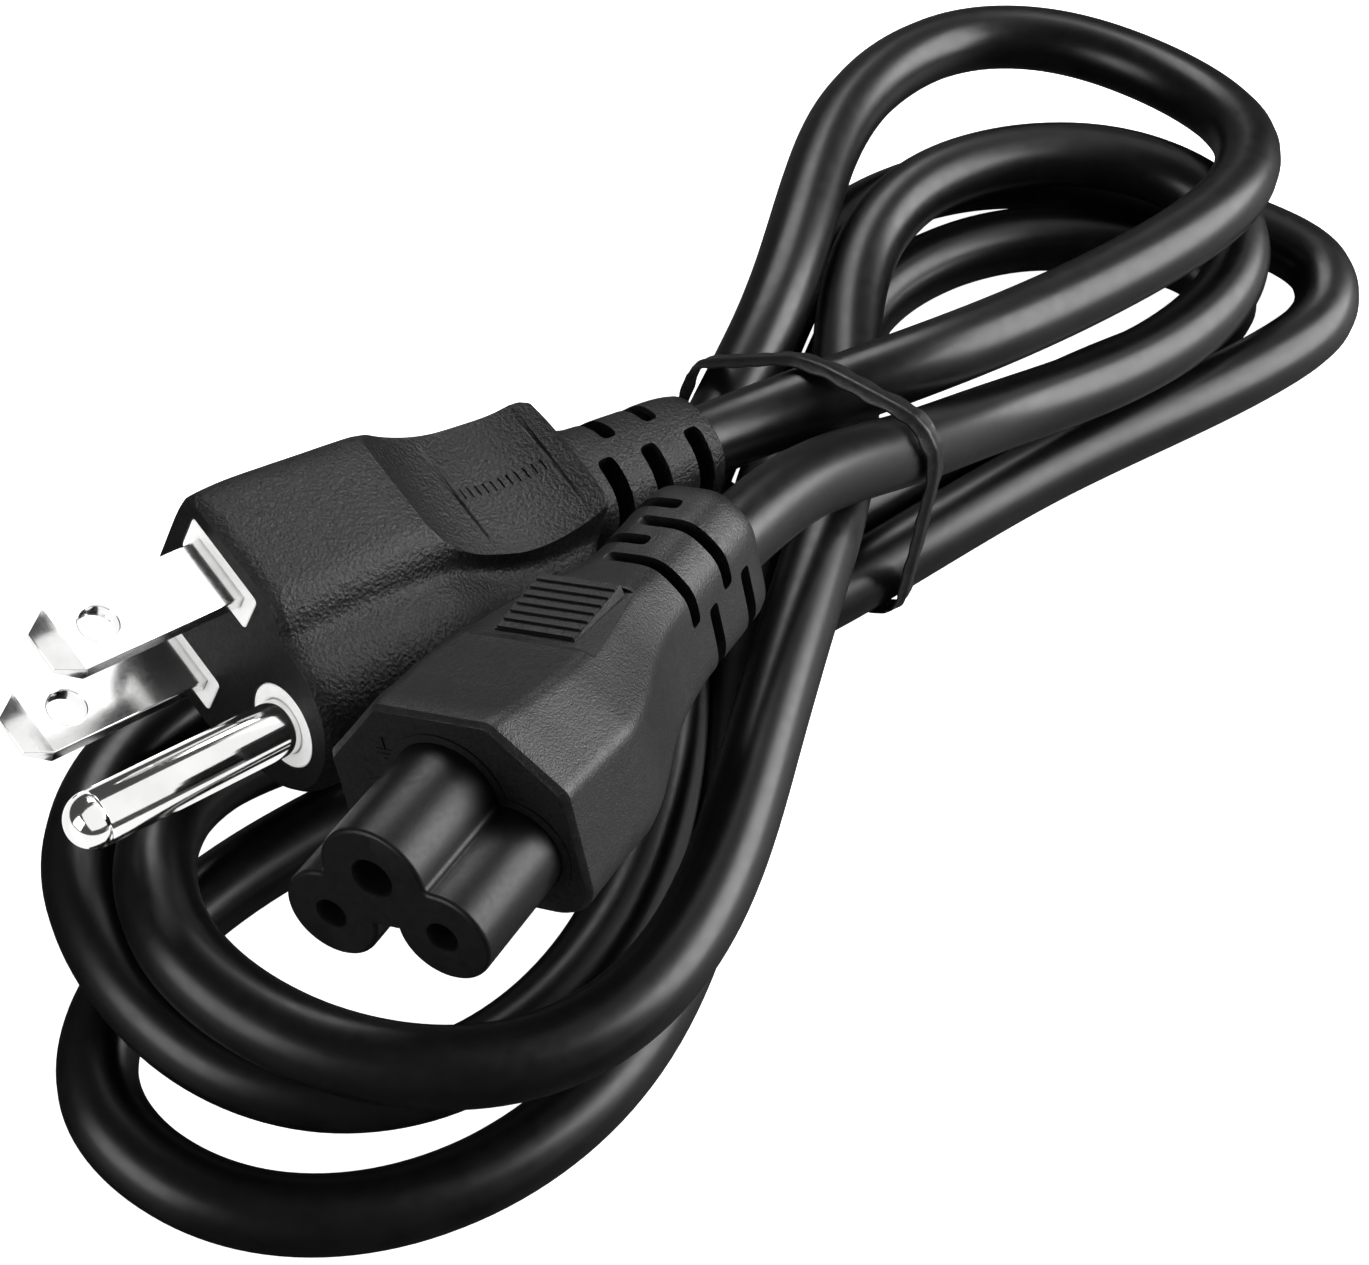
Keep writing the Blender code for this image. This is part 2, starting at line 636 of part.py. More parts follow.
def tie_band(path, mat):
    """Flat band pulled round all strands where they cross its plane."""
    far = Vector((*TIE_FAR, 0.0))
    near = Vector((*TIE_NEAR, 0.0))
    across = (near - far).normalized()
    normal = Vector((-across.y, across.x, 0.0))
    mid = (far + near) / 2
    half = TIE_W / 2 + 1.2
    pts = []
    for i in range(len(path) - 1):
        a, b = Vector(path[i]), Vector(path[i + 1])
        for t in (0.0, 0.5):
            p = a.lerp(b, t)
            if abs((p - mid).dot(normal)) < half and abs((p - mid).dot(across)) < 26.0:
                pts.append(((p - mid).dot(across), p.z))
    r = CORD_D / 2 + TIE_GAP
    low = TIE_T + 0.12
    cloud = [(x + r * math.cos(2 * math.pi * k / 24), max(z + r * math.sin(2 * math.pi * k / 24), low))
             for x, z in pts for k in range(24)]
    ring = hull(cloud)
    ring = even_ring(ring, 56)
    verts = []
    n = len(ring)
    for x, z, nx, nz in ring:
        for grow, side in ((0.0, -1), (TIE_T, -1), (TIE_T, 1), (0.0, 1)):
            p = mid + across * (x + nx * grow) + normal * (side * TIE_W / 2)
            verts.append((p.x, p.y, z + nz * grow))
    faces = []
    for i in range(n):
        j = (i + 1) % n
        for k in range(4):
            m = (k + 1) % 4
            faces.append((i * 4 + k, i * 4 + m, j * 4 + m, j * 4 + k))
    return solid("tie", verts, faces, mat)


def hull(cloud):
    """Convex outline of flat points, anticlockwise."""
    cloud = sorted(set((round(x, 4), round(z, 4)) for x, z in cloud))

    def side(points):
        out = []
        for p in points:
            while len(out) > 1 and ((out[-1][0] - out[-2][0]) * (p[1] - out[-2][1])
                                    - (out[-1][1] - out[-2][1]) * (p[0] - out[-2][0])) <= 0:
                out.pop()
            out.append(p)
        return out[:-1]

    return side(cloud) + side(cloud[::-1])


def even_ring(ring, count):
    """Evenly spaced points of a closed outline, each with its outward direction."""
    pts = np.array(ring + [ring[0]])
    seg = np.linalg.norm(np.diff(pts, axis=0), axis=1)
    s = np.concatenate([[0.0], np.cumsum(seg)])
    q = np.linspace(0.0, s[-1], count, endpoint=False)
    xy = np.stack([np.interp(q, s, pts[:, i]) for i in range(2)], axis=1)
    out = []
    for i in range(count):
        t = xy[(i + 1) % count] - xy[i - 1]
        t /= np.linalg.norm(t)
        out.append((xy[i][0], xy[i][1], t[1], -t[0]))
    return out


def main():
    clear_scene()
    black = material("plug_black", (0.012, 0.012, 0.013), 0.50)
    conn = material("connector_black", (0.011, 0.011, 0.012), 0.55)
    nose = material("nose_black", (0.014, 0.014, 0.015), 0.40)
    jacket = material("cord_black", (0.010, 0.010, 0.011), 0.30)
    white = material("insert_white", (0.82, 0.82, 0.80), 0.40)
    nickel = material("nickel", (0.76, 0.75, 0.72), 0.22, 1.0)
    brass = material("contact", (0.60, 0.58, 0.52), 0.30, 1.0)
    band = material("tie_black", (0.012, 0.012, 0.013), 0.45)

    plug_place = placed(PLUG_AXES, PLUG_AT)
    conn_place = placed(CONN_AXES, CONN_AT)
    finish(plug_body(), black, plug_place)
    finish(plug_insert(), white, plug_place)
    finish(blade("blade_upper", -1), nickel, plug_place)
    finish(blade("blade_lower", 1), nickel, plug_place)
    finish(earth_pin(), nickel, plug_place)
    finish(connector_body(), conn, conn_place)
    finish(connector_nose(), nose, conn_place)
    names = ("contact_left", "contact_right", "contact_earth")
    for name, (cx, cy, d) in zip(names, hole_places()):
        finish(sleeve(name, cx, cy, d), brass, conn_place)

    path = even(smooth(ROUTE), 260)
    tube("cord", path, CORD_D, jacket)
    tie_band(smooth(ROUTE), band)


main()
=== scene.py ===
"""Looks of a folded power cord: plug, appliance connector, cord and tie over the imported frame.

Sizes are written in millimetres and turned into metres when a mesh is made.
Each end is built in its own frame, whose z axis points out of its face, and then laid into the world.
"""
import math

import bmesh
import bpy
import numpy as np
from mathutils import Matrix, Vector


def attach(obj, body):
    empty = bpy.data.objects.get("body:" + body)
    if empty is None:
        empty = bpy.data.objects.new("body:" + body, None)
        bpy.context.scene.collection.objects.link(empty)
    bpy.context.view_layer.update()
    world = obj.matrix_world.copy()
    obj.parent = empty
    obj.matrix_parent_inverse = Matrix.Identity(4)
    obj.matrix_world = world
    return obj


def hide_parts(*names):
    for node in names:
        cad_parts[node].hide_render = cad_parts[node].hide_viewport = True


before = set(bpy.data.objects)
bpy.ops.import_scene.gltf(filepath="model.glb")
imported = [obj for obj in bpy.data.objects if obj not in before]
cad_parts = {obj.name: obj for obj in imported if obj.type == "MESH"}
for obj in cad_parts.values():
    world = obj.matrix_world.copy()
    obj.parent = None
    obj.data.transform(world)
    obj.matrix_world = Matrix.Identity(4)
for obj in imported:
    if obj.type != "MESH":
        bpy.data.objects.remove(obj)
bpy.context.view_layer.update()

MM = 0.001
IMAGE_W = 1369
FOCAL_PX = 3000.0
SENSOR_MM = 36.0

# shading: how level a face must be in its end's frame to stay flat, and from what area on, and how far a
# face may lean and still count as part of an end's face
LEVEL = 0.9995
BROAD_MM2 = 20.0
OUTWARD = 0.85

# half length of a cutter that goes through a whole end
THROUGH = 30.0

# named sizes as in the solid model, but for the blades' hole, which is as wide as in the photograph
CORD_D = 6.9
BLADE_SPACING = 12.7
BLADE_W = 6.35
BLADE_T = 1.52
BLADE_OUT = 17.2
BLADE_IN = 6.5
BLADE_TIP = 2.1
BLADE_HOLE_R = 1.65
BLADE_HOLE_Z = 11.9
PIN_D = 4.8
PIN_Y = 11.9
PIN_OUT = 21.0
PIN_IN = 6.5
HOLE_X = 5.0
EARTH_Y = 4.5
SIDE_LOBE_R = 4.0
TOP_LOBE_R = 4.5
SIDE_HOLE_D = 2.4
EARTH_HOLE_D = 3.2
HOLE_DEPTH = 9.6
NOSE_OUT = 10.8
LOBE_FILLET = 0.5
COLLAR_GROW = 0.75
TIE_W = 2.4

# blade's tip: share of its thickness and narrowing on each side at the very end, and its rounded edges
TIP_THIN = 0.42
TIP_NARROW = 1.35
BLADE_EDGE = 0.12

# groove behind the pin's dome, as depth and distance behind it, then rings of the dome and its flat share
PIN_GROOVE = ((0.0, 0.30), (0.06, 0.24), (0.06, 0.10))
DOME_RINGS = 19
DOME_FLAT = 0.02

# where each end lies: columns are its x, y and z directions, then its face centre
PLUG_AXES = ((-0.2095, 0.7726, -0.5993), (-0.0415, -0.6194, -0.7840), (-0.9769, -0.1393, 0.1618))
PLUG_AT = (-43.85, -38.60, 30.04)
CONN_AXES = ((0.8730, -0.3759, -0.3108), (-0.2136, 0.2783, -0.9364), (0.4385, 0.8839, 0.1627))
CONN_AT = (-20.71, -68.70, 41.05)

# far and near foot of the tie's ring on the floor plan
TIE_FAR = (-5.7, 12.9)
TIE_NEAR = (15.3, 0.9)

# camera in millimetres, with its right, down and forward directions
CAM_AT = (-4.7, -177.83, 235.63)
CAM_RIGHT = (0.9691, 0.1994, 0.1453)
CAM_DOWN = (0.2467, -0.7832, -0.5708)
CAM_AHEAD = (0.0, 0.5890, -0.8081)

# plug slices: z, half width, blade side, lip side, corner radii of both, then half width and end
# of the pin's lobe
PLUG_RINGS = (
    (0.0, 9.8, -6.2, 8.6, 2.4, 4.0, 8.4, 17.2),
    (-0.7, 10.3, -6.6, 9.0, 2.8, 4.2, 8.8, 17.7),
    (-3.0, 10.5, -6.7, 9.0, 3.0, 4.2, 9.0, 18.0),
    (-8.0, 10.6, -6.4, 9.0, 3.0, 4.2, 9.0, 18.0),
    (-12.0, 10.6, -6.1, 9.0, 3.0, 4.2, 8.8, 17.6),
    (-15.0, 10.4, -5.9, 8.8, 2.8, 4.0, 8.4, 17.1),
    (-17.0, 10.1, -5.7, 8.6, 2.4, 3.6, 7.9, 16.7),
    (-19.0, 9.9, -5.0, 8.5, 1.8, 3.0, 7.1, 16.2),
    (-21.0, 9.6, -4.6, 8.8, 1.4, 2.4, 6.2, 15.6),
    (-23.0, 9.4, -4.2, 9.2, 1.2, 1.9, 5.4, 14.9),
    (-25.5, 9.2, -3.8, 9.8, 1.2, 1.5, 4.8, 14.2),
    (-28.0, 9.0, -3.5, 10.1, 1.2, 1.3, 4.5, 13.5),
    (-31.0, 8.7, -3.0, 10.2, 1.1, 1.1, 4.3, 12.8),
    (-34.6, 8.4, -2.4, 10.1, 1.0, 1.0, 4.2, 12.0),
    (-35.2, 7.9, -2.0, 9.8, 1.0, 1.0, 4.0, 11.4),
    (-35.9, 6.6, -1.0, 9.9, 1.8, 2.6, 4.0, 10.0),
    (-37.0, 6.2, -0.7, 10.4, 2.0, 3.0, 4.0, 10.2),
    (-44.0, 5.9, 0.1, 10.6, 2.2, 3.0, 4.0, 10.4),
    (-50.4, 5.6, 0.6, 10.4, 2.4, 3.0, 4.0, 10.2),
    (-51.4, 5.4, 0.8, 10.2, 2.5, 2.9, 4.0, 10.0),
    (-51.9, 4.9, 1.2, 9.7, 2.4, 2.6, 4.0, 9.6),
)
SCOOP_R = 15.5
SCOOP_X = 21.8
SCOOP_Z = -26.8

# pin's lobe: foot and its corners, and how much slimmer it is where the slice is wider than a value
LOBE_FOOT = 1.0
FOOT_CORNER = 0.5
LOBE_TRIM = 1.0
LOBE_TRIM_FROM = 6.5

# softened slices: blur in steps round a slice, and the place and length over which it sets in
HOLLOW_BLUR = 3.2
RELIEF_BLUR = 14.0
RELIEF_Z = -34.5
RELIEF_LEAD = 4.0
NECK_BLUR = 3.6
NECK_Z = -34.0
NECK_LEAD = 5.0

# plug's relief: middle of its slots and radius of their floor, how far out they are cut, then each row's
# place, end angles and half width
PLUG_CORE = (0.0, 5.0, 3.75)
PLUG_SLOT_REACH = 9.5
SIDE_SLOTS = ((-38.6, 179.0), (-43.5, 175.0), (-48.8, 173.0))
SIDE_SLOT_START = 100.0
SIDE_SLOT_W = 1.0
CORNER_SLOTS = (-41.0, -46.1)
CORNER_ARMS = ((194.0, 238.0), (302.0, 346.0))
CORNER_SLOT_W = 0.85

# fine marks in each finger scoop: number, first place, step along z and y, half length, half width, depth
MARKS = 13
MARK_Z = -23.2
MARK_Y = 2.6
MARK_STEP = 0.82
MARK_RISE = 0.09
MARK_HALF = 0.55
MARK_W = 0.13
MARK_DEPTH = 0.12

# white bosses round the blades and the pin, and the clearance of what fits into what
BOSS_HALF_X = 2.1
BOSS_HALF_Y = 4.6
BOSS_CORNER = 0.5
BOSS_IN = 5.5
PIN_BOSS_R = 3.8
SEAT_Z = (-8.0, 2.0)
FIT = 0.05

# connector slices: z behind the face, half width, top, bottom, half width of the top flat, height
# of the shoulder, corner radius above and below, sideways shift
CONN_RINGS = (
    (0.0, 10.4, 11.1, -5.9, 5.0, 5.6, 0.9, 3.2, 0.0),
    (-0.5, 10.8, 11.4, -6.2, 5.2, 5.9, 1.1, 3.4, 0.0),
    (-5.0, 10.8, 10.6, -6.2, 5.8, 5.5, 1.2, 3.4, 0.0),
    (-9.7, 10.9, 9.8, -6.2, 6.1, 5.1, 1.3, 3.3, 0.0),
    (-12.1, 10.4, 9.4, -6.2, 6.0, 4.9, 1.5, 3.2, 0.0),
    (-15.9, 9.0, 9.0, -6.1, 5.4, 4.8, 1.7, 3.0, 0.1),
    (-19.6, 7.5, 8.6, -5.9, 4.6, 4.8, 1.9, 2.8, 0.2),
    (-22.6, 6.5, 8.3, -5.7, 3.9, 4.8, 2.0, 2.6, 0.4),
    (-25.6, 5.8, 7.8, -5.5, 3.3, 4.6, 2.0, 2.5, 0.7),
    (-28.0, 5.5, 7.4, -5.4, 3.1, 4.5, 2.0, 2.4, 0.8),
    (-38.2, 5.4, 7.2, -5.3, 3.0, 4.4, 2.0, 2.4, 0.8),
    (-39.2, 5.2, 7.0, -5.1, 2.8, 4.2, 1.9, 2.3, 0.8),
    (-39.7, 4.7, 6.5, -4.6, 2.5, 3.9, 1.8, 2.0, 0.8),
)

# finger pad of the connector: sunk floor, the inclined plate on it and the ribs across the plate
PAD_FRONT = -23.9
PAD_BACK = -33.6
PAD_HALF = 6.9
PAD_FLOOR = 8.7
PAD_SLOPE = 0.085
PLATE_ENDS = ((-33.1, 0.95), (-25.6, 0.12))
PLATE_HALF = (3.9, 3.7)
PLATE_SINK = 0.6
RIBS = 7
RIB_Z = -25.95
RIB_STEP = 1.08
RIB_HALF = 3.55
RIB_WIDEN = 0.02
RIB_W = 0.24
RIB_SINK = 0.4
RIB_TOP = 0.38
RIB_RISE = 0.119

# connector's tail: middle of its slots and radius of their floor, their rows and the angles of each kind
CONN_CORE = (1.2, 0.2, 3.6)
TAIL_SLOTS = ((-38.5, 0), (-41.4, 1), (-44.2, 0), (-47.0, 1))
TAIL_ARMS = (((16.0, 108.0), (196.0, 288.0)), ((88.0, 196.0), (268.0, 376.0)))
TAIL_SLOT_W = 0.72

# earth sign on the connector's face: stem, then half length and height of each bar
SIGN_X = -5.0
SIGN_W = 0.06
SIGN_RISE = 0.12
SIGN_SINK = 0.3
SIGN_STEM = (7.55, 8.6)
SIGN_BARS = ((0.80, 7.44), (0.52, 6.98), (0.26, 6.52))
COLLAR_SINK = 0.5
COLLAR_RISE = 0.16

# route of the cord's centre from the plug to the connector, as in the solid model
ROUTE = (
    (-11.9, -4.8, 21.7),
    (-2.2, 5.3, 20.8),
    (9.3, 13.8, 22.9),
    (20.9, 25.8, 21.7),
    (31.6, 38.8, 20.5),
    (39.0, 51.2, 19.3),
    (40.2, 60.8, 17.4),
    (36.6, 68.8, 14.6),
    (28.9, 74.5, 12.3),
    (18.9, 76.7, 11.0),
    (10.1, 74.4, 10.5),
    (3.0, 67.1, 11.2),
    (-1.8, 55.2, 12.4),
    (-3.3, 38.9, 13.8),
    (-4.4, 22.2, 13.6),
    (-7.2, 5.9, 11.2),
    (-6.7, -10.2, 12.2),
    (-3.8, -26.8, 12.9),
    (-3.6, -42.6, 12.6),
    (-7.6, -55.7, 12.3),
    (-14.9, -64.4, 11.8),
    (-24.0, -68.5, 11.6),
    (-34.0, -67.8, 11.5),
    (-43.2, -62.4, 11.5),
    (-49.1, -54.3, 11.3),
    (-50.1, -44.5, 10.1),
    (-46.4, -32.9, 7.2),
    (-37.7, -20.8, 4.2),
    (-25.7, -9.1, 4.2),
    (-14.0, 3.0, 4.4),
    (-6.2, 16.0, 4.4),
    (-3.3, 31.6, 4.2),
    (0.0, 45.8, 4.1),
    (7.3, 55.4, 4.1),
    (18.0, 61.8, 4.0),
    (31.9, 64.0, 4.1),
    (45.8, 62.4, 4.3),
    (52.2, 59.2, 4.5),
    (53.5, 53.2, 4.6),
    (49.3, 45.2, 4.8),
    (38.4, 33.2, 5.0),
    (26.7, 21.2, 5.1),
    (15.7, 8.4, 4.9),
    (4.5, -4.1, 4.1),
    (-7.7, -15.7, 3.9),
    (-19.7, -27.5, 4.1),
    (-31.5, -39.5, 4.0),
    (-40.8, -52.2, 4.0),
    (-44.0, -62.5, 3.9),
    (-42.4, -70.3, 3.8),
    (-36.2, -75.2, 3.8),
    (-27.0, -76.6, 3.7),
    (-16.5, -73.3, 3.6),
    (-6.9, -65.2, 3.5),
    (-0.3, -53.5, 3.7),
    (2.4, -39.1, 5.8),
    (1.6, -22.5, 8.5),
    (0.2, -6.1, 11.6),
    (0.1, 7.6, 10.4),
    (2.8, 22.6, 4.8),
    (5.2, 37.0, 3.6),
    (10.9, 46.3, 3.5),
    (20.8, 53.6, 3.5),
    (32.0, 56.3, 3.5),
    (39.7, 55.6, 3.5),
    (42.8, 51.9, 3.5),
    (40.5, 46.3, 3.6),
    (31.1, 36.9, 3.7),
    (19.7, 24.6, 4.0),
    (9.0, 11.6, 4.7),
    (-2.3, -0.9, 4.0),
    (-14.6, -12.3, 4.1),
    (-26.6, -24.1, 4.8),
    (-36.6, -35.4, 9.1),
    (-42.1, -45.9, 14.6),
    (-42.5, -55.0, 17.7),
    (-38.5, -62.4, 18.7),
    (-30.2, -67.1, 18.7),
    (-19.0, -68.3, 18.9),
    (-8.9, -65.0, 18.9),
    (-1.4, -57.6, 18.9),
    (2.9, -45.9, 19.0),
    (4.3, -29.3, 18.8),
    (5.2, -12.5, 17.7),
    (5.8, 4.2, 15.7),
    (4.3, 20.7, 13.1),
    (3.5, 36.4, 11.2),
    (6.7, 47.6, 11.0),
    (14.4, 55.9, 10.9),
    (24.7, 60.7, 10.8),
    (34.0, 60.8, 10.7),
    (40.2, 57.2, 10.7),
    (42.1, 50.4, 10.7),
    (39.1, 40.9, 11.1),
    (30.0, 28.3, 12.8),
    (19.1, 16.0, 16.4),
    (10.4, 3.3, 23.1),
    (1.9, -9.4, 30.0),
    (-4.7, -24.0, 33.8),
)


# soft lights: name, direction, distance and size in metres, brightness, and whether only the bright
# pieces receive it
SOFTBOXES = (
    ("right_softbox", (0.79, 0.30, 0.54), 0.9, (0.78, 0.66), 7.5, False),
    ("left_softbox", (-0.32, 0.70, 0.62), 0.9, (0.46, 0.42), 4.8, False),
    ("overhead_softbox", (0.22, 0.55, 0.80), 1.2, (0.90, 0.80), 0.35, False),
    ("front_softbox", (-0.62, -0.70, 0.36), 0.6, (0.34, 0.34), 3.6, False),
    ("bright_overhead", (0.16, 0.60, 0.78), 1.2, (0.90, 0.80), 0.42, True),
    ("bright_front", (0.32, -0.25, 0.90), 0.9, (2.00, 1.80), 1.0, True),
)

# surroundings: direction of their glow, and how their brightness grows toward it
GLOW_WAY = (0.85, 0.25, -0.45)
GLOW_RANGE = {"From Min": 0.55, "From Max": 0.95, "To Min": 0.07, "To Max": 1.1}

# half sizes of the floor and of the bright card on it, and the card's height, in metres
FLOOR_HALF = 3.0
CARD_HALF = 0.6
CARD_Z = 0.0003


# materials

def new_group(name, inputs, outputs):
    """Shader node group with named number sockets; gives its tree and its two end nodes."""
    tree = bpy.data.node_groups.new(name, "ShaderNodeTree")
    for label in inputs:
        tree.interface.new_socket(name=label, in_out="INPUT", socket_type="NodeSocketFloat")
    for label in outputs:
        tree.interface.new_socket(name=label, in_out="OUTPUT", socket_type="NodeSocketFloat")
    return tree, tree.nodes.new("NodeGroupInput"), tree.nodes.new("NodeGroupOutput")


def node(tree, kind, **values):
    """Adds a node; values that name a socket are set on it, the others on the node."""
    out = tree.nodes.new(kind)
    for key, value in values.items():
        if key in out.inputs:
            out.inputs[key].default_value = value
        else:
            setattr(out, key, value)
    return out


def spread(tree, value, lo=0.3, hi=0.7):
    """Stretches the middle of a texture's range to the range from 0 to 1."""
    out = node(tree, "ShaderNodeMapRange", **{"From Min": lo, "From Max": hi})
    tree.links.new(value, out.inputs["Value"])
    return out.outputs["Result"]


def blended(tree, a, b, factor):
    """Mixes two numbers by a third."""
    mix = node(tree, "ShaderNodeMix", data_type="FLOAT")
    tree.links.new(factor, mix.inputs[0])
    tree.links.new(a, mix.inputs[2])
    tree.links.new(b, mix.inputs[3])
    return mix.outputs[0]


def moulded_skin():
    """Group for moulded plastic: pebbled or fine grain, cloudy tone and uneven gloss."""
    names = ("Pebble scale", "Fine scale", "Pebble share", "Cloud scale", "Gloss scale")
    tree, start, end = new_group("moulded_skin", names, ("Height", "Tone", "Gloss"))
    place = node(tree, "ShaderNodeTexCoord").outputs["Object"]
    pebble = node(tree, "ShaderNodeTexVoronoi", feature="SMOOTH_F1", Smoothness=0.7)
    fine = node(tree, "ShaderNodeTexNoise", Detail=3.0, Roughness=0.6)
    cloud = node(tree, "ShaderNodeTexNoise", Detail=2.0)
    gloss = node(tree, "ShaderNodeTexNoise", Detail=3.0)
    for tex, label in ((pebble, "Pebble scale"), (fine, "Fine scale"),
                       (cloud, "Cloud scale"), (gloss, "Gloss scale")):
        tree.links.new(place, tex.inputs["Vector"])
        tree.links.new(start.outputs[label], tex.inputs["Scale"])
    height = blended(tree, fine.outputs["Fac"], pebble.outputs["Distance"], start.outputs["Pebble share"])
    tree.links.new(height, end.inputs["Height"])
    tree.links.new(spread(tree, cloud.outputs["Fac"]), end.inputs["Tone"])
    tree.links.new(spread(tree, gloss.outputs["Fac"]), end.inputs["Gloss"])
    return tree


def worn_plate():
    """Group for plated metal: drawn lines along the part, fine scratches and dull clouds."""
    names = ("Line scale", "Scratch scale", "Cloud scale")
    tree, start, end = new_group("worn_plate", names, ("Height", "Tone", "Gloss"))
    place = node(tree, "ShaderNodeTexCoord").outputs["Object"]
    turn = node(tree, "ShaderNodeMapping")
    turn.inputs["Rotation"].default_value = PLATE_TURN
    turn.inputs["Scale"].default_value = (1.0, 1.0, 0.05)
    tree.links.new(place, turn.inputs["Vector"])
    lines = node(tree, "ShaderNodeTexNoise", Detail=4.0, Roughness=0.7)
    marks = node(tree, "ShaderNodeTexNoise", Detail=6.0, Roughness=0.75, Distortion=1.5)
    cloud = node(tree, "ShaderNodeTexNoise", Detail=3.0)
    for tex, label, source in ((lines, "Line scale", turn.outputs["Vector"]), (marks, "Scratch scale", place),
                               (cloud, "Cloud scale", place)):
        tree.links.new(source, tex.inputs["Vector"])
        tree.links.new(start.outputs[label], tex.inputs["Scale"])
    half = node(tree, "ShaderNodeMath", operation="MULTIPLY_ADD")
    half.inputs[1].default_value = 0.5
    tree.links.new(lines.outputs["Fac"], half.inputs[0])
    tree.links.new(marks.outputs["Fac"], half.inputs[2])
    tree.links.new(half.outputs["Value"], end.inputs["Height"])
    tree.links.new(spread(tree, cloud.outputs["Fac"]), end.inputs["Tone"])
    tree.links.new(spread(tree, marks.outputs["Fac"], 0.35, 0.65), end.inputs["Gloss"])
    return tree


def finish_from(name, group, values, dark, light, rough, bump_mm, bump, **fixed):
    """Material whose tone, roughness and relief come from a group placed with its own values."""
    mat = bpy.data.materials.new(name)
    mat.use_nodes = True
    tree = mat.node_tree
    shader = tree.nodes["Principled BSDF"]
    skin = node(tree, "ShaderNodeGroup", node_tree=group)
    for label, size_mm in values.items():
        skin.inputs[label].default_value = size_mm if label.endswith("share") else 1000.0 / size_mm
    tone = node(tree, "ShaderNodeMix", data_type="RGBA")
    tone.inputs["A"].default_value = (*dark, 1.0)
    tone.inputs["B"].default_value = (*light, 1.0)
    tree.links.new(skin.outputs["Tone"], tone.inputs["Factor"])
    tree.links.new(tone.outputs["Result"], shader.inputs["Base Color"])
    gloss = node(tree, "ShaderNodeMapRange", **{"To Min": rough[0], "To Max": rough[1]})
    tree.links.new(skin.outputs["Gloss"], gloss.inputs["Value"])
    tree.links.new(gloss.outputs["Result"], shader.inputs["Roughness"])
    relief = node(tree, "ShaderNodeBump", Strength=bump, Distance=bump_mm * MM)
    tree.links.new(skin.outputs["Height"], relief.inputs["Height"])
    tree.links.new(relief.outputs["Normal"], shader.inputs["Normal"])
    for label, value in fixed.items():
        shader.inputs[label.replace("_", " ")].default_value = value
    return mat


# meshes

def placed(axes, at):
    """Matrix that lays an end's own frame into the world."""
    mat = Matrix((*[(*axes[i], at[i] * MM) for i in range(3)], (0.0, 0.0, 0.0, 1.0)))
    rot = mat.to_3x3()
    z = rot.col[2].normalized()
    x = (rot.col[0] - z * rot.col[0].dot(z)).normalized()
    out = Matrix((x, z.cross(x), z)).transposed().to_4x4()
    out.translation = mat.translation
    return out


def solid(name, verts, faces):
    """Closed mesh from millimetre points, with its faces turned outward."""
    mesh = bpy.data.meshes.new(name)
    mesh.from_pydata([tuple(c * MM for c in v) for v in verts], [], faces)
    bm = bmesh.new()
    bm.from_mesh(mesh)
    bmesh.ops.remove_doubles(bm, verts=bm.verts, dist=0.000005)
    bmesh.ops.recalc_face_normals(bm, faces=bm.faces)
    bm.to_mesh(mesh)
    bm.free()
    obj = bpy.data.objects.new(name, mesh)
    bpy.context.scene.collection.objects.link(obj)
    return obj


def loft(name, rings, closed=False):
    """Skin through rings that have the same number of points; closed joins the last to the first."""
    n = len(rings[0])
    m = len(rings)
    verts = [tuple(p) for ring in rings for p in ring]
    faces = []
    for i in range(m if closed else m - 1):
        a, b = i * n, (i + 1) % m * n
        for j in range(n):
            k = (j + 1) % n
            faces.append((a + j, a + k, b + k, b + j))
    if not closed:
        faces.append(tuple(range(n)))
        faces.append(tuple((m - 1) * n + j for j in reversed(range(n))))
    return solid(name, verts, faces)


def gathered(name, pieces):
    """One object out of several helpers that don't touch."""
    verts, faces = [], []
    for piece in pieces:
        base = len(verts)
        verts += [tuple(v.co / MM) for v in piece.data.vertices]
        faces += [tuple(base + i for i in poly.vertices) for poly in piece.data.polygons]
        bpy.data.objects.remove(piece, do_unlink=True)
    return solid(name, verts, faces)


def rounded(corners, steps=10):
    """Outline of a convex shape: each corner is (x, y, radius)."""
    out = []
    n = len(corners)
    for i in range(n):
        px, py, r = corners[i]
        p = Vector((px, py))
        a = (Vector(corners[i - 1][:2]) - p).normalized()
        b = (Vector(corners[(i + 1) % n][:2]) - p).normalized()
        half = math.acos(max(-1.0, min(1.0, a.dot(b)))) / 2
        p0 = p + a * (r / math.tan(half))
        p1 = p + b * (r / math.tan(half))
        mid = p + (a + b).normalized() * (r / math.sin(half))
        a0 = math.atan2(p0.y - mid.y, p0.x - mid.x)
        a1 = math.atan2(p1.y - mid.y, p1.x - mid.x)
        turn = (a1 - a0 + math.pi) % (2 * math.pi) - math.pi
        for k in range(steps + 1):
            t = a0 + turn * k / steps
            out.append((mid.x + r * math.cos(t), mid.y + r * math.sin(t)))
    return out


def even_turns(count):
    """Even angles once round a centre."""
    return np.linspace(-math.pi, math.pi, count, endpoint=False)


def around(mid, radii):
    """Flat points at even angles round a centre, at the given distances."""
    turns = even_turns(len(radii))
    return [(mid[0] + r * math.cos(t), mid[1] + r * math.sin(t)) for r, t in zip(radii, turns)]


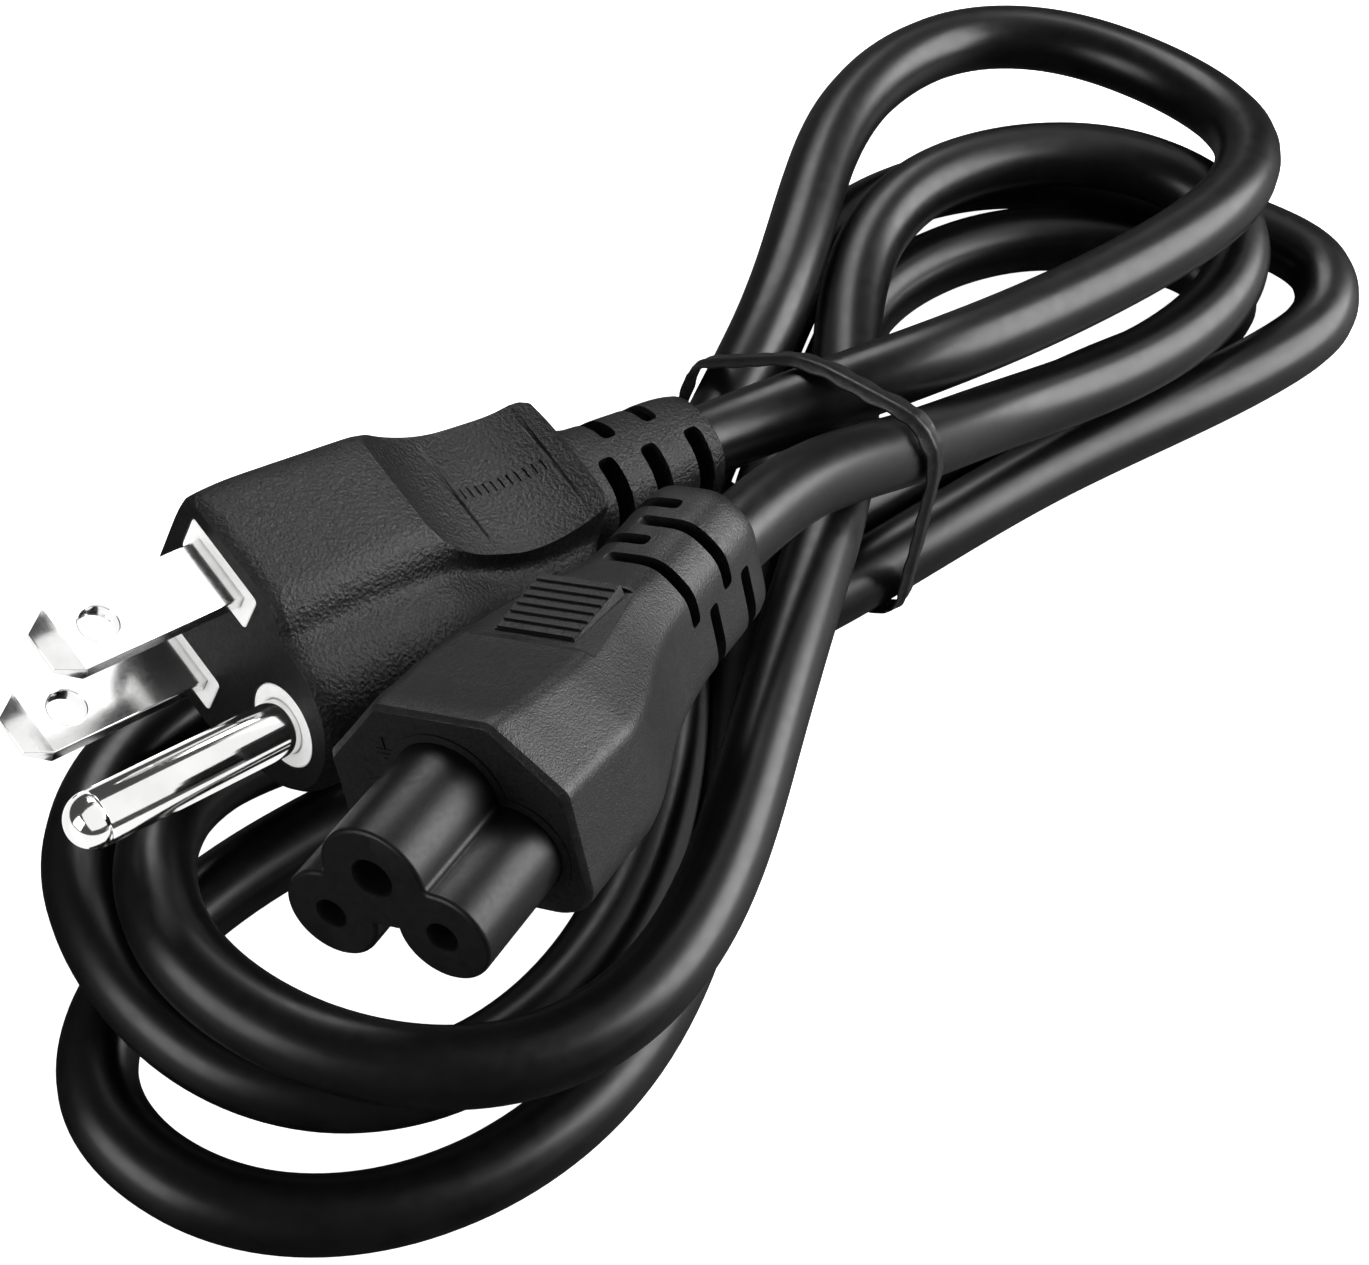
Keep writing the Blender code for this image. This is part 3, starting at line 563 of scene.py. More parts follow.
def polar(outlines, centre, count):
    """Distances from a centre to the outer outline of some flat shapes, at even angles."""
    a = np.concatenate([np.array(o, float) for o in outlines]) - centre
    b = np.concatenate([np.roll(np.array(o, float), -1, axis=0) for o in outlines]) - centre
    e = b - a
    out = []
    for t in even_turns(count):
        dx, dy = math.cos(t), math.sin(t)
        det = dx * e[:, 1] - dy * e[:, 0]
        ok = np.abs(det) > 1e-9
        det = np.where(ok, det, 1.0)
        far = (a[:, 0] * e[:, 1] - a[:, 1] * e[:, 0]) / det
        along = (a[:, 0] * dy - a[:, 1] * dx) / det
        ok &= (far > 0) & (along > -1e-6) & (along < 1.000001)
        out.append(far[ok].max())
    return np.array(out)


def blurred(radii, width):
    """Radii round a slice, averaged with their neighbours."""
    reach = int(3 * width)
    weight = np.exp(-0.5 * (np.arange(-reach, reach + 1) / width) ** 2)
    weight /= weight.sum()
    return np.convolve(np.concatenate([radii[-reach:], radii, radii[:reach]]), weight, "valid")


def plug_softened(radii, z):
    """Fills the hollow beside the pin's lobe, and makes the relief round."""
    over = blurred(radii, HOLLOW_BLUR) - radii
    radii = radii + 0.5 * (over + np.sqrt(over ** 2 + 0.01)) - 0.05
    share = min(max((RELIEF_Z - z) / RELIEF_LEAD, 0.0), 1.0)
    return radii + (blurred(radii, RELIEF_BLUR) - radii) * share


def connector_softened(radii, z):
    """Rounds the neck and the tail, and leaves the box before them as it is."""
    share = min(max((NECK_Z - z) / NECK_LEAD, 0.0), 1.0)
    return radii + (blurred(radii, NECK_BLUR) - radii) * share


def sweep(name, stations, outline, centre, count, softened, step=0.7):
    """Body through a table of slices, with more slices made by a smooth curve between them.

    The curve's slopes are kept small next to each chord, so that it doesn't swing past the table's values.
    """
    table = np.array(stations, float)
    z = table[:, 0]
    fine = [z[0]]
    for a, b in zip(z, z[1:]):
        n = max(1, round(abs(b - a) / step))
        fine += [a + (b - a) * k / n for k in range(1, n + 1)]
    fine = np.array(fine)
    slopes = np.gradient(table[:, 1:], z, axis=0)
    rings = []
    for zz in fine:
        i = min(max(int(np.searchsorted(-z, -zz, side="right")) - 1, 0), len(z) - 2)
        h = z[i + 1] - z[i]
        t = (zz - z[i]) / h
        p, q = table[i, 1:], table[i + 1, 1:]
        chord = (q - p) / h
        m0 = np.where(slopes[i] * chord > 0, slopes[i], 0.0)
        m1 = np.where(slopes[i + 1] * chord > 0, slopes[i + 1], 0.0)
        m0 = np.sign(m0) * np.minimum(np.abs(m0), np.abs(chord) * 2.5)
        m1 = np.sign(m1) * np.minimum(np.abs(m1), np.abs(chord) * 2.5)
        row = ((2 * t ** 3 - 3 * t ** 2 + 1) * p + (t ** 3 - 2 * t ** 2 + t) * h * m0
               + (3 * t ** 2 - 2 * t ** 3) * q + (t ** 3 - t ** 2) * h * m1)
        mid = np.array(centre(row))
        radii = softened(polar(outline(row), mid, count), zz)
        rings.append([(x, y, zz) for x, y in around(mid, radii)])
    return loft(name, rings)


def circle(cx, cy, r, n=72):
    """Flat points round a circle."""
    ways = [2 * math.pi * k / n for k in range(n)]
    return [(cx + r * math.cos(t), cy + r * math.sin(t)) for t in ways]


def disc(cx, cy, r, z):
    """Round ring of points at one height."""
    return prism_ring(circle(cx, cy, r), z)


def prism_ring(outline, z):
    """Flat outline laid at one height."""
    return [(x, y, z) for x, y in outline]


def box(x0, x1, y0, y1, z0, z1, lift=0.0):
    """Helper block; lift raises its lower face at its far end."""
    return loft("block", [[(x0, y0, z0), (x1, y0, z0), (x1, y1, z0), (x0, y1, z0)],
                          [(x0, y0 + lift, z1), (x1, y0 + lift, z1), (x1, y1, z1), (x0, y1, z1)]])


def combine(target, tool, how="DIFFERENCE"):
    """Boolean of one helper with the target, after which the helper is removed."""
    mod = target.modifiers.new("boolean", "BOOLEAN")
    mod.operation = how
    mod.solver = "EXACT"
    mod.object = tool
    return settled(target, mod, tool)


def settled(obj, mod, spare=None):
    """Keeps what a modifier makes and takes the modifier off."""
    mesh = bpy.data.meshes.new_from_object(obj.evaluated_get(bpy.context.evaluated_depsgraph_get()))
    obj.modifiers.remove(mod)
    old = obj.data
    obj.data = mesh
    bpy.data.meshes.remove(old)
    if spare:
        bpy.data.objects.remove(spare, do_unlink=True)
    return obj


def soften(obj, width, angle, segments):
    """Rounds edges sharper than angle by width millimetres."""
    mod = obj.modifiers.new("edge", "BEVEL")
    mod.width = width * MM
    mod.segments = segments
    mod.limit_method = "ANGLE"
    mod.angle_limit = math.radians(angle)
    mod.use_clamp_overlap = True
    return settled(obj, mod)


def finish(obj, mats, place, nodes, angle, face_part=None, flats=False):
    """Lays a piece into the world, shades it smooth (but for its flats) and hides the parts it stands for."""
    mesh = obj.data
    mesh.materials.clear()
    for mat in mats:
        mesh.materials.append(mat)
    level = []
    for poly in mesh.polygons:
        upright = max(abs(c) for c in poly.normal) > LEVEL
        level.append(upright and (flats or poly.area > BROAD_MM2 * MM * MM))
        poly.material_index = 1 if face_part and face_part(poly) else 0
    mesh.transform(place)
    mesh.set_sharp_from_angle(angle=math.radians(angle))
    for poly, flat in zip(mesh.polygons, level):
        poly.use_smooth = not flat
    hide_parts(*nodes)
    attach(obj, "root")
    return obj


def facing(z):
    """Test for the faces that look out of an end, at the height of its face or above."""
    return lambda poly: poly.normal.z > OUTWARD and poly.center.z > z * MM


def capsule(y, z, half_len, half_w, x0, x1):
    """Cutter with round ends: long along y, going in along x between two depths."""
    outline = []
    for u, v in circle(0.0, 0.0, half_w, 28):
        outline.append((y + u + (half_len - half_w) * (1 if u > 0 else -1), z + v))
    return loft("mark", [[(x, u, v) for u, v in outline] for x in (x0, x1)])


def hooked(centre, arms, half_w, z, reach=16.0):
    """Cutter that goes round a corner: from one side of a rod to another, with its ends rounded."""
    cx, cy, r_in = centre
    a0, a1 = (math.radians(a) for a in arms)
    tip = half_w / (r_in + 2.5)
    steps = 30
    end_steps = 6
    rings = []
    for k in range(-end_steps, steps + end_steps + 1):
        end = max(-k, k - steps, 0) / end_steps
        along = min(max(k / steps, 0.0), 1.0)
        a = a0 + tip + (a1 - a0 - 2 * tip) * along + math.copysign(tip * math.sin(math.pi / 2 * end), k)
        w = half_w * (math.sqrt(1 - end ** 2) if end < 1 else 0.15)
        ux, uy = math.cos(a), math.sin(a)
        rings.append([(cx + ux * r, cy + uy * r, z + dz) for r, dz in
                      ((r_in, -w), (reach, -w), (reach, w), (r_in, w))])
    return loft("slot", rings)


# plug

def plug_outline(row):
    """Slice of the plug: wide blade part and the rounder lobe of the pin."""
    hx, y0, y1, r0, r1, lobe, y2 = row
    lobe -= min(max(hx - LOBE_TRIM_FROM, 0.0), LOBE_TRIM)
    wide = rounded(((-hx, y0, r0), (hx, y0, r0), (hx, y1, r1), (-hx, y1, r1)), 12)
    round_r = min(lobe * 0.97, (y2 - LOBE_FOOT) / 2)
    pin = rounded((
        (-lobe, LOBE_FOOT, FOOT_CORNER), (lobe, LOBE_FOOT, FOOT_CORNER),
        (lobe, y2, round_r), (-lobe, y2, round_r),
    ), 20)
    return wide, pin


def scoop_x(z):
    """Distance of the scooped side from the middle plane."""
    return SCOOP_X - math.sqrt(SCOOP_R ** 2 - (z - SCOOP_Z) ** 2)


def plug_body():
    """Moulded body with finger scoops, a row of fine marks in each, and a slotted strain relief."""
    body = sweep("plug_moulding", PLUG_RINGS, plug_outline, lambda row: (0.0, 4.5), 240, plug_softened)
    for side in (-1, 1):
        ring = circle(side * SCOOP_X, SCOOP_Z, SCOOP_R, 240)
        combine(body, loft("scoop", [[(x, y, z) for x, z in ring] for y in (-THROUGH, THROUGH)]))
    cuts = []
    for z, end in SIDE_SLOTS:
        for arms in ((SIDE_SLOT_START, end), (180.0 - end, 180.0 - SIDE_SLOT_START)):
            cuts.append(hooked(PLUG_CORE, arms, SIDE_SLOT_W, z, PLUG_SLOT_REACH))
    for z in CORNER_SLOTS:
        for arms in CORNER_ARMS:
            cuts.append(hooked(PLUG_CORE, arms, CORNER_SLOT_W, z, PLUG_SLOT_REACH))
    combine(body, gathered("slots", cuts))
    soften(body, width=0.28, angle=30.0, segments=3)
    marks = []
    for side in (-1, 1):
        for k in range(MARKS):
            z = MARK_Z - k * MARK_STEP
            y = MARK_Y + k * MARK_RISE
            x = scoop_x(z)
            marks.append(capsule(y, z, MARK_HALF, MARK_W, side * (x - MARK_DEPTH), side * (x + 0.5)))
    combine(body, gathered("marks", marks))
    for tool in insert_seats(FIT):
        combine(body, tool)
    grain = finish_from("plug_leather_grain", SKIN, {
        "Pebble scale": 0.36, "Fine scale": 0.18, "Pebble share": 0.45,
        "Cloud scale": 2.5, "Gloss scale": 0.8,
    }, dark=(0.002, 0.002, 0.0021), light=(0.005, 0.005, 0.0052), rough=(0.32, 0.42), bump_mm=0.20, bump=1.0)
    face = finish_from("plug_face_satin", SKIN, {
        "Pebble scale": 0.30, "Fine scale": 0.14, "Pebble share": 0.3, "Cloud scale": 0.9, "Gloss scale": 0.4,
    }, dark=(0.003, 0.003, 0.0032), light=(0.006, 0.006, 0.0062), rough=(0.46, 0.58), bump_mm=0.05, bump=0.6,
        Specular_IOR_Level=0.3)
    return finish(body, (grain, face), PLUG_PLACE, ("plug_body",), 40.0, facing(-0.4))


def insert_seats(g):
    """The bosses of the white insert, grown by a clearance when they cut their seats."""
    heights = (-BOSS_IN, 1.0 if g else 0.0)
    a = BOSS_HALF_X + g
    b = BOSS_HALF_Y + g
    out = []
    for side in (-1, 1):
        cx = side * BLADE_SPACING / 2
        corners = ((cx - a, -b), (cx + a, -b), (cx + a, b), (cx - a, b))
        ring = rounded([(x, y, BOSS_CORNER) for x, y in corners], 5)
        out.append(loft("boss", [prism_ring(ring, z) for z in heights]))
    out.append(loft("boss", [disc(0.0, PIN_Y, PIN_BOSS_R + g, z) for z in heights]))
    return out


def plug_insert():
    """White bosses round the blades and the pin, with rounded rims."""
    whole = gathered("insert_bosses", insert_seats(0.0))
    cuts = []
    for side in (-1, 1):
        cx = side * BLADE_SPACING / 2
        t = BLADE_T / 2 + FIT
        w = BLADE_W / 2 + FIT
        cuts.append(box(cx - t, cx + t, -w, w, *SEAT_Z))
    cuts.append(loft("seat", [disc(0.0, PIN_Y, PIN_D / 2 + FIT, z) for z in SEAT_Z]))
    combine(whole, gathered("seats", cuts))
    soften(whole, width=0.25, angle=40.0, segments=2)
    white = finish_from("insert_white", SKIN, {
        "Pebble scale": 0.6, "Fine scale": 0.3, "Pebble share": 0.3, "Cloud scale": 1.6, "Gloss scale": 0.8,
    }, dark=(0.90, 0.90, 0.89), light=(0.96, 0.96, 0.955), rough=(0.28, 0.40), bump_mm=0.02, bump=0.4)
    return finish(whole, (white,), PLUG_PLACE, ("plug_insert",), 40.0, flats=True)


def blade(name, side, cad):
    """Flat blade with a hole, rounded long edges and a tip bevelled on all four sides."""
    cx = side * BLADE_SPACING / 2
    t = BLADE_T / 2
    w = BLADE_W / 2
    rings = []
    tip = (t * TIP_THIN, w - TIP_NARROW, BLADE_OUT)
    for a, b, z in ((t, w, -BLADE_IN), (t, w, BLADE_OUT - BLADE_TIP), tip):
        rings.append([(cx - a, -b, z), (cx + a, -b, z), (cx + a, b, z), (cx - a, b, z)])
    body = loft(name, rings)
    ring = circle(0.0, BLADE_HOLE_Z, BLADE_HOLE_R)
    combine(body, loft("hole", [[(x, y, z) for y, z in ring] for x in (cx - 2.0, cx + 2.0)]))
    soften(body, width=BLADE_EDGE, angle=20.0, segments=3)
    flat = finish_from(name + "_nickel", PLATE, {
        "Line scale": 0.30, "Scratch scale": 0.9, "Cloud scale": 2.2,
    }, dark=(0.78, 0.78, 0.775), light=(0.88, 0.88, 0.875), rough=(0.11, 0.18), bump_mm=0.0008, bump=0.25,
        Metallic=1.0)
    return finish(body, (flat,), PLUG_PLACE, (cad,), 60.0, flats=True)


def earth_pin():
    """Round pin with a domed tip and a fine turned step behind it."""
    r = PIN_D / 2
    dome = PIN_OUT - r
    rings = [disc(0.0, PIN_Y, r, -PIN_IN)]
    rings += [disc(0.0, PIN_Y, r - depth, dome - behind) for depth, behind in PIN_GROOVE]
    for k in range(DOME_RINGS):
        t = math.pi / 2 * k / DOME_RINGS
        wide = r * math.cos(t) * (1 - DOME_FLAT) + r * DOME_FLAT
        rings.append(disc(0.0, PIN_Y, wide, dome + r * math.sin(t)))
    bright = finish_from("pin_nickel", PLATE, {
        "Line scale": 0.6, "Scratch scale": 1.2, "Cloud scale": 4.0,
    }, dark=(0.80, 0.80, 0.79), light=(0.90, 0.90, 0.89), rough=(0.07, 0.13), bump_mm=0.0015, bump=0.3,
        Metallic=1.0)
    return finish(loft("earth_pin", rings), (bright,), PLUG_PLACE, ("ground_pin",), 50.0)


# connector

def conn_outline(row):
    """Slice of the connector: a box with its two upper corners cut off and its lower ones rounded."""
    hw, top, bottom, flat, shoulder, r_top, r_low, xo = row
    return (rounded((
        (xo - hw, bottom, r_low), (xo + hw, bottom, r_low), (xo + hw, shoulder, r_top),
        (xo + flat, top, r_top), (xo - flat, top, r_top), (xo - hw, shoulder, r_top),
    ), 10),)


def pad_floor(z):
    """Height of the sunk floor round the finger pad."""
    return PAD_FLOOR + (z - PAD_FRONT) * PAD_SLOPE


def connector_body():
    """Moulded body with a sunk ribbed pad, a collar round the nose and slots round its tail."""
    table = [(row[0] - NOSE_OUT, *row[1:]) for row in CONN_RINGS]
    body = sweep("connector_moulding", table, conn_outline, lambda row: (row[7], 1.0), 180,
                 connector_softened)
    sunk = pad_floor(PAD_FRONT) - pad_floor(PAD_BACK)
    combine(body, box(-PAD_HALF, PAD_HALF, pad_floor(PAD_BACK), 16.0, PAD_BACK, PAD_FRONT, sunk))
    soften(body, width=0.16, angle=24.0, segments=2)
    cuts = []
    for z, kind in TAIL_SLOTS:
        cuts += [hooked(CONN_CORE, arms, TAIL_SLOT_W, z) for arms in TAIL_ARMS[kind]]
    combine(body, gathered("slots", cuts))
    combine(body, pad_plate(), "UNION")
    combine(body, pad_ribs(), "UNION")
    combine(body, collar(), "UNION")
    inner = nose_outline(FIT)
    combine(body, loft("seat", [prism_ring(inner, z) for z in (-NOSE_OUT - 4.0, -NOSE_OUT + 2.0)]))
    combine(body, earth_sign(), "UNION")
    skin = finish_from("connector_fine_grain", SKIN, {
        "Pebble scale": 0.30, "Fine scale": 0.16, "Pebble share": 0.25,
        "Cloud scale": 1.2, "Gloss scale": 0.5,
    }, dark=(0.004, 0.004, 0.0042), light=(0.008, 0.008, 0.0083), rough=(0.33, 0.43), bump_mm=0.09, bump=0.8,
        Specular_IOR_Level=0.6)
    face = finish_from("connector_face_specks", SKIN, {
        "Pebble scale": 0.5, "Fine scale": 0.12, "Pebble share": 0.1, "Cloud scale": 0.35, "Gloss scale": 0.3,
    }, dark=(0.002, 0.002, 0.0021), light=(0.008, 0.008, 0.0083), rough=(0.46, 0.62), bump_mm=0.07, bump=0.8,
        Specular_IOR_Level=0.35)
    return finish(body, (skin, face), CONN_PLACE, ("connector_body",), 40.0, facing(-NOSE_OUT - 0.4))


def pad_plate():
    """Plate of the finger pad, which rises toward the tail."""
    low, high = PLATE_HALF
    rings = []
    for z, rise in PLATE_ENDS:
        y0, y1 = pad_floor(z) - PLATE_SINK, pad_floor(z) + rise
        rings.append([(-low, y0, z), (low, y0, z), (high, y1, z), (-high, y1, z)])
    return loft("plate", rings)


def pad_ribs():
    """Ribs across the finger pad, each a little wider and higher than the one before."""
    ribs = []
    for k in range(RIBS):
        z = RIB_Z - k * RIB_STEP
        half = RIB_HALF + RIB_WIDEN * k
        top = pad_floor(z) + RIB_TOP + RIB_RISE * k
        ribs.append(box(-half, half, pad_floor(z) - RIB_SINK, top, z - RIB_W, z + RIB_W))
    return gathered("ribs", ribs)


def earth_sign():
    """Raised stem and three bars, each shorter than the one before."""
    heights = (-NOSE_OUT - SIGN_SINK, -NOSE_OUT + SIGN_RISE)
    bars = [box(SIGN_X - SIGN_W, SIGN_X + SIGN_W, *SIGN_STEM, *heights)]
    for half, y in SIGN_BARS:
        bars.append(box(SIGN_X - half, SIGN_X + half, y - SIGN_W, y + SIGN_W, *heights))
    return gathered("sign", bars)


def collar():
    """Low ring that follows the three lobes of the nose."""
    lobes = ((-HOLE_X, 0.0, SIDE_LOBE_R), (HOLE_X, 0.0, SIDE_LOBE_R), (0.0, EARTH_Y, TOP_LOBE_R))
    mid = np.array((0.0, 2.5))
    ring = around(mid, polar([circle(cx, cy, r + COLLAR_GROW) for cx, cy, r in lobes], mid, 240))
    return loft("collar", [prism_ring(ring, z) for z in (-NOSE_OUT - COLLAR_SINK, -NOSE_OUT + COLLAR_RISE)])


def nose_outline(grow):
    """Outline of the three lobes, walked anticlockwise, grown outward."""
    pts = []

    def arc(cx, cy, r, a0, a1, n):
        for k in range(n + 1):
            t = math.radians(a0 + (a1 - a0) * k / n)
            pts.append((cx + r * math.cos(t), cy + r * math.sin(t)))

    side_r = SIDE_LOBE_R + grow
    arc(HOLE_X, 0.0, side_r, 180.0, 450.0, 44)
    fillet = max(LOBE_FILLET - grow, 0.06)
    arc(HOLE_X, SIDE_LOBE_R + grow + fillet, fillet, 270.0, 180.0, 4)
    arc(0.0, EARTH_Y, TOP_LOBE_R + grow, 0.0, 90.0, 20)
    return pts + [(-x, y) for x, y in reversed(pts[:-1])]


def hole_places():
    """Centre and width of each hole."""
    return ((-HOLE_X, 0.0, SIDE_HOLE_D), (HOLE_X, 0.0, SIDE_HOLE_D), (0.0, EARTH_Y, EARTH_HOLE_D))


def connector_nose():
    """Rigid nose: three lobes with a small rim edge and one round hole in each."""
    slices = ((0.0, -NOSE_OUT - 3.0), (0.0, -0.36), (-0.05, -0.16), (-0.16, -0.05), (-0.34, 0.0))
    nose = loft("nose", [prism_ring(nose_outline(grow), z) for grow, z in slices])
    flare = ((0.0, -HOLE_DEPTH), (0.0, -0.22), (0.16, 0.0), (0.24, 1.0))
    holes = []
    for cx, cy, d in hole_places():
        holes.append(loft("hole", [disc(cx, cy, d / 2 + more, z) for more, z in flare]))
    combine(nose, gathered("holes", holes))
    satin = finish_from("nose_satin", SKIN, {
        "Pebble scale": 0.4, "Fine scale": 0.16, "Pebble share": 0.1, "Cloud scale": 0.7, "Gloss scale": 0.5,
    }, dark=(0.002, 0.002, 0.0021), light=(0.004, 0.004, 0.0042), rough=(0.36, 0.44), bump_mm=0.02, bump=0.5,
        Specular_IOR_Level=0.40)
    return finish(nose, (satin,), CONN_PLACE, ("connector_nose",), 40.0)


def contact_sleeves():
    """Gives the metal sleeves deep in the holes their finish."""
    plate = finish_from("contact_plate", PLATE, {
        "Line scale": 0.3, "Scratch scale": 0.5, "Cloud scale": 1.0,
    }, dark=(0.34, 0.32, 0.28), light=(0.56, 0.54, 0.48), rough=(0.25, 0.40), bump_mm=0.006, bump=0.4,
        Metallic=1.0)
    for name in ("contact_left", "contact_right", "contact_earth"):
        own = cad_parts[name]
        own.data.materials.clear()
        own.data.materials.append(plate)


# cord and tie

def smooth(points, per):
    """Natural cubic curve through the route's points."""
    p = np.array(points, float)
    n = len(p)
    h = np.linalg.norm(np.diff(p, axis=0), axis=1) ** 0.75
    a = np.zeros((n, n))
    b = np.zeros((n, 3))
    a[0, 0] = a[-1, -1] = 1.0
    for i in range(1, n - 1):
        a[i, i - 1] = h[i - 1]
        a[i, i] = 2 * (h[i - 1] + h[i])
        a[i, i + 1] = h[i]
        b[i] = 6 * ((p[i + 1] - p[i]) / h[i] - (p[i] - p[i - 1]) / h[i - 1])
    s = np.linalg.solve(a, b)
    out = []
    for i in range(n - 1):
        for k in range(per):
            t = k / per * h[i]
            c3 = (s[i + 1] - s[i]) / (6 * h[i])
            c1 = (p[i + 1] - p[i]) / h[i] - h[i] * (2 * s[i] + s[i + 1]) / 6
            out.append(p[i] + t * c1 + t * t * s[i] / 2 + t ** 3 * c3)
    out.append(p[-1])
    return np.array(out)


def power_lead():
    """The whole cord as one smooth tube, declared with the pieces on its ends."""
    path = smooth(ROUTE, 10)
    curve = bpy.data.curves.new("power_lead", "CURVE")
    curve.dimensions = "3D"
    curve.bevel_depth = CORD_D / 2 * MM
    curve.bevel_resolution = 8
    curve.use_fill_caps = True
    line = curve.splines.new("POLY")
    line.points.add(len(path) - 1)
    line.points.foreach_set("co", np.column_stack([path * MM, np.ones(len(path))]).ravel())
    line.use_smooth = True
    obj = bpy.data.objects.new("power_lead", curve)
    bpy.context.scene.collection.objects.link(obj)
    curve.materials.append(finish_from("cord_jacket", SKIN, {
        "Pebble scale": 3.4, "Fine scale": 0.9, "Pebble share": 0.0, "Cloud scale": 3.5, "Gloss scale": 1.2,
    }, dark=(0.002, 0.002, 0.0021), light=(0.004, 0.004, 0.0042), rough=(0.30, 0.37), bump_mm=0.012,
        bump=0.3))
    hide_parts("cord")
    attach(obj, "root")
    return obj


def hull(cloud):
    """Convex outline of flat points, anticlockwise."""
    cloud = sorted(set(cloud))

    def side(points):
        out = []
        for p in points:
            while len(out) > 1 and ((out[-1][0] - out[-2][0]) * (p[1] - out[-2][1])
                                    - (out[-1][1] - out[-2][1]) * (p[0] - out[-2][0])) <= 0:
                out.pop()
            out.append(p)
        return out[:-1]

    return side(cloud) + side(cloud[::-1])


def tie_ribbon():
    """Thin ribbon with a wire ridge along its middle, pulled round the strands."""
    far, near = Vector(TIE_FAR), Vector(TIE_NEAR)
    across = (near - far).normalized()
    normal = Vector((-across.y, across.x))
    mid = (far + near) / 2
    cloud = []
    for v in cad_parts["tie"].data.vertices:
        p = Vector((v.co.x / MM - mid.x, v.co.y / MM - mid.y))
        cloud.append((round(p.dot(across), 4), round(v.co.z / MM, 4)))
    ring = hull(cloud)
    pts = np.array(ring + [ring[0]])
    s = np.concatenate([[0.0], np.cumsum(np.linalg.norm(np.diff(pts, axis=0), axis=1))])
    q = np.linspace(0.0, s[-1], 200, endpoint=False)
    xy = np.stack([np.interp(q, s, pts[:, i]) for i in range(2)], axis=1)
    half = TIE_W / 2
    # section of the ribbon: place across it, and height over the solid's outer side
    profile = ((-half, -0.42), (-half, -0.28), (-half + 0.12, -0.22), (-0.45, -0.20), (-0.28, -0.03),
               (0.0, 0.05), (0.28, -0.03), (0.45, -0.20), (half - 0.12, -0.22), (half, -0.28), (half, -0.42),
               (0.0, -0.44))
    rings = []
    n = len(xy)
    for i in range(n):
        t = xy[(i + 1) % n] - xy[i - 1]
        t /= np.linalg.norm(t)
        # its edges wander a little, its wire runs straight
        wave = 0.10 * math.sin(i * 0.9) + 0.07 * math.sin(i * 0.37)
        ring = []
        for w, h in profile:
            x, z = xy[i][0] + t[1] * h, xy[i][1] - t[0] * h
            w = w + (wave if abs(w) > 0.5 else 0.0)
            ring.append((mid.x + across.x * x + normal.x * w, mid.y + across.y * x + normal.y * w, z))
        rings.append(ring)
    ribbon = finish_from("tie_ribbon", SKIN, {
        "Pebble scale": 0.5, "Fine scale": 0.25, "Pebble share": 0.4, "Cloud scale": 1.5, "Gloss scale": 0.7,
    }, dark=(0.006, 0.006, 0.0065), light=(0.012, 0.012, 0.0125), rough=(0.34, 0.5), bump_mm=0.05, bump=0.6)
    return finish(loft("tie_ribbon", rings, True), (ribbon,), Matrix.Identity(4), ("tie",), 50.0)


# stage

def glowing_sheet(name, skin, half, z, grey, rough, glow):
    """Level square sheet that gives off light."""
    mesh = bpy.data.meshes.new(name)
    corners = [(-half, -half, z), (half, -half, z), (half, half, z), (-half, half, z)]
    mesh.from_pydata(corners, [], [(0, 1, 2, 3)])
    obj = bpy.data.objects.new(name, mesh)
    bpy.context.scene.collection.objects.link(obj)
    mat = bpy.data.materials.new(skin)
    mat.use_nodes = True
    shader = mat.node_tree.nodes["Principled BSDF"]
    shader.inputs["Base Color"].default_value = (grey, grey, grey, 1.0)
    shader.inputs["Roughness"].default_value = rough
    shader.inputs["Emission Color"].default_value = (1.0, 1.0, 1.0, 1.0)
    shader.inputs["Emission Strength"].default_value = glow
    mesh.materials.append(mat)
    return obj


def pale_floor():
    """Pale floor, far larger than the view."""
    obj = glowing_sheet("floor", "floor_white", FLOOR_HALF, 0.0, grey=0.93, rough=0.95, glow=1.0)
    obj.visible_glossy = False


def floor_card(bright):
    """Bright card on the floor that only the metal and white pieces mirror."""
    obj = glowing_sheet("floor_card", "card_glow", CARD_HALF, CARD_Z, grey=0.0, rough=0.5, glow=1.1)
    for kind in ("camera", "diffuse", "shadow", "transmission"):
        setattr(obj, "visible_" + kind, False)
    obj.light_linking.receiver_collection = bright


def softbox(name, way, far, size, glow, only=None):
    """Rectangular soft light that looks at the cord from a direction, for all pieces or only for some."""
    lamp = bpy.data.lights.new(name, "AREA")
    lamp.shape = "RECTANGLE"
    lamp.size, lamp.size_y = size
    lamp.energy = glow * math.pi * size[0] * size[1]
    obj = bpy.data.objects.new(name, lamp)
    way = Vector(way).normalized()
    obj.location = way * far
    obj.rotation_euler = (-way).to_track_quat("-Z", "Y").to_euler()
    if only:
        obj.light_linking.receiver_collection = only
    bpy.context.scene.collection.objects.link(obj)


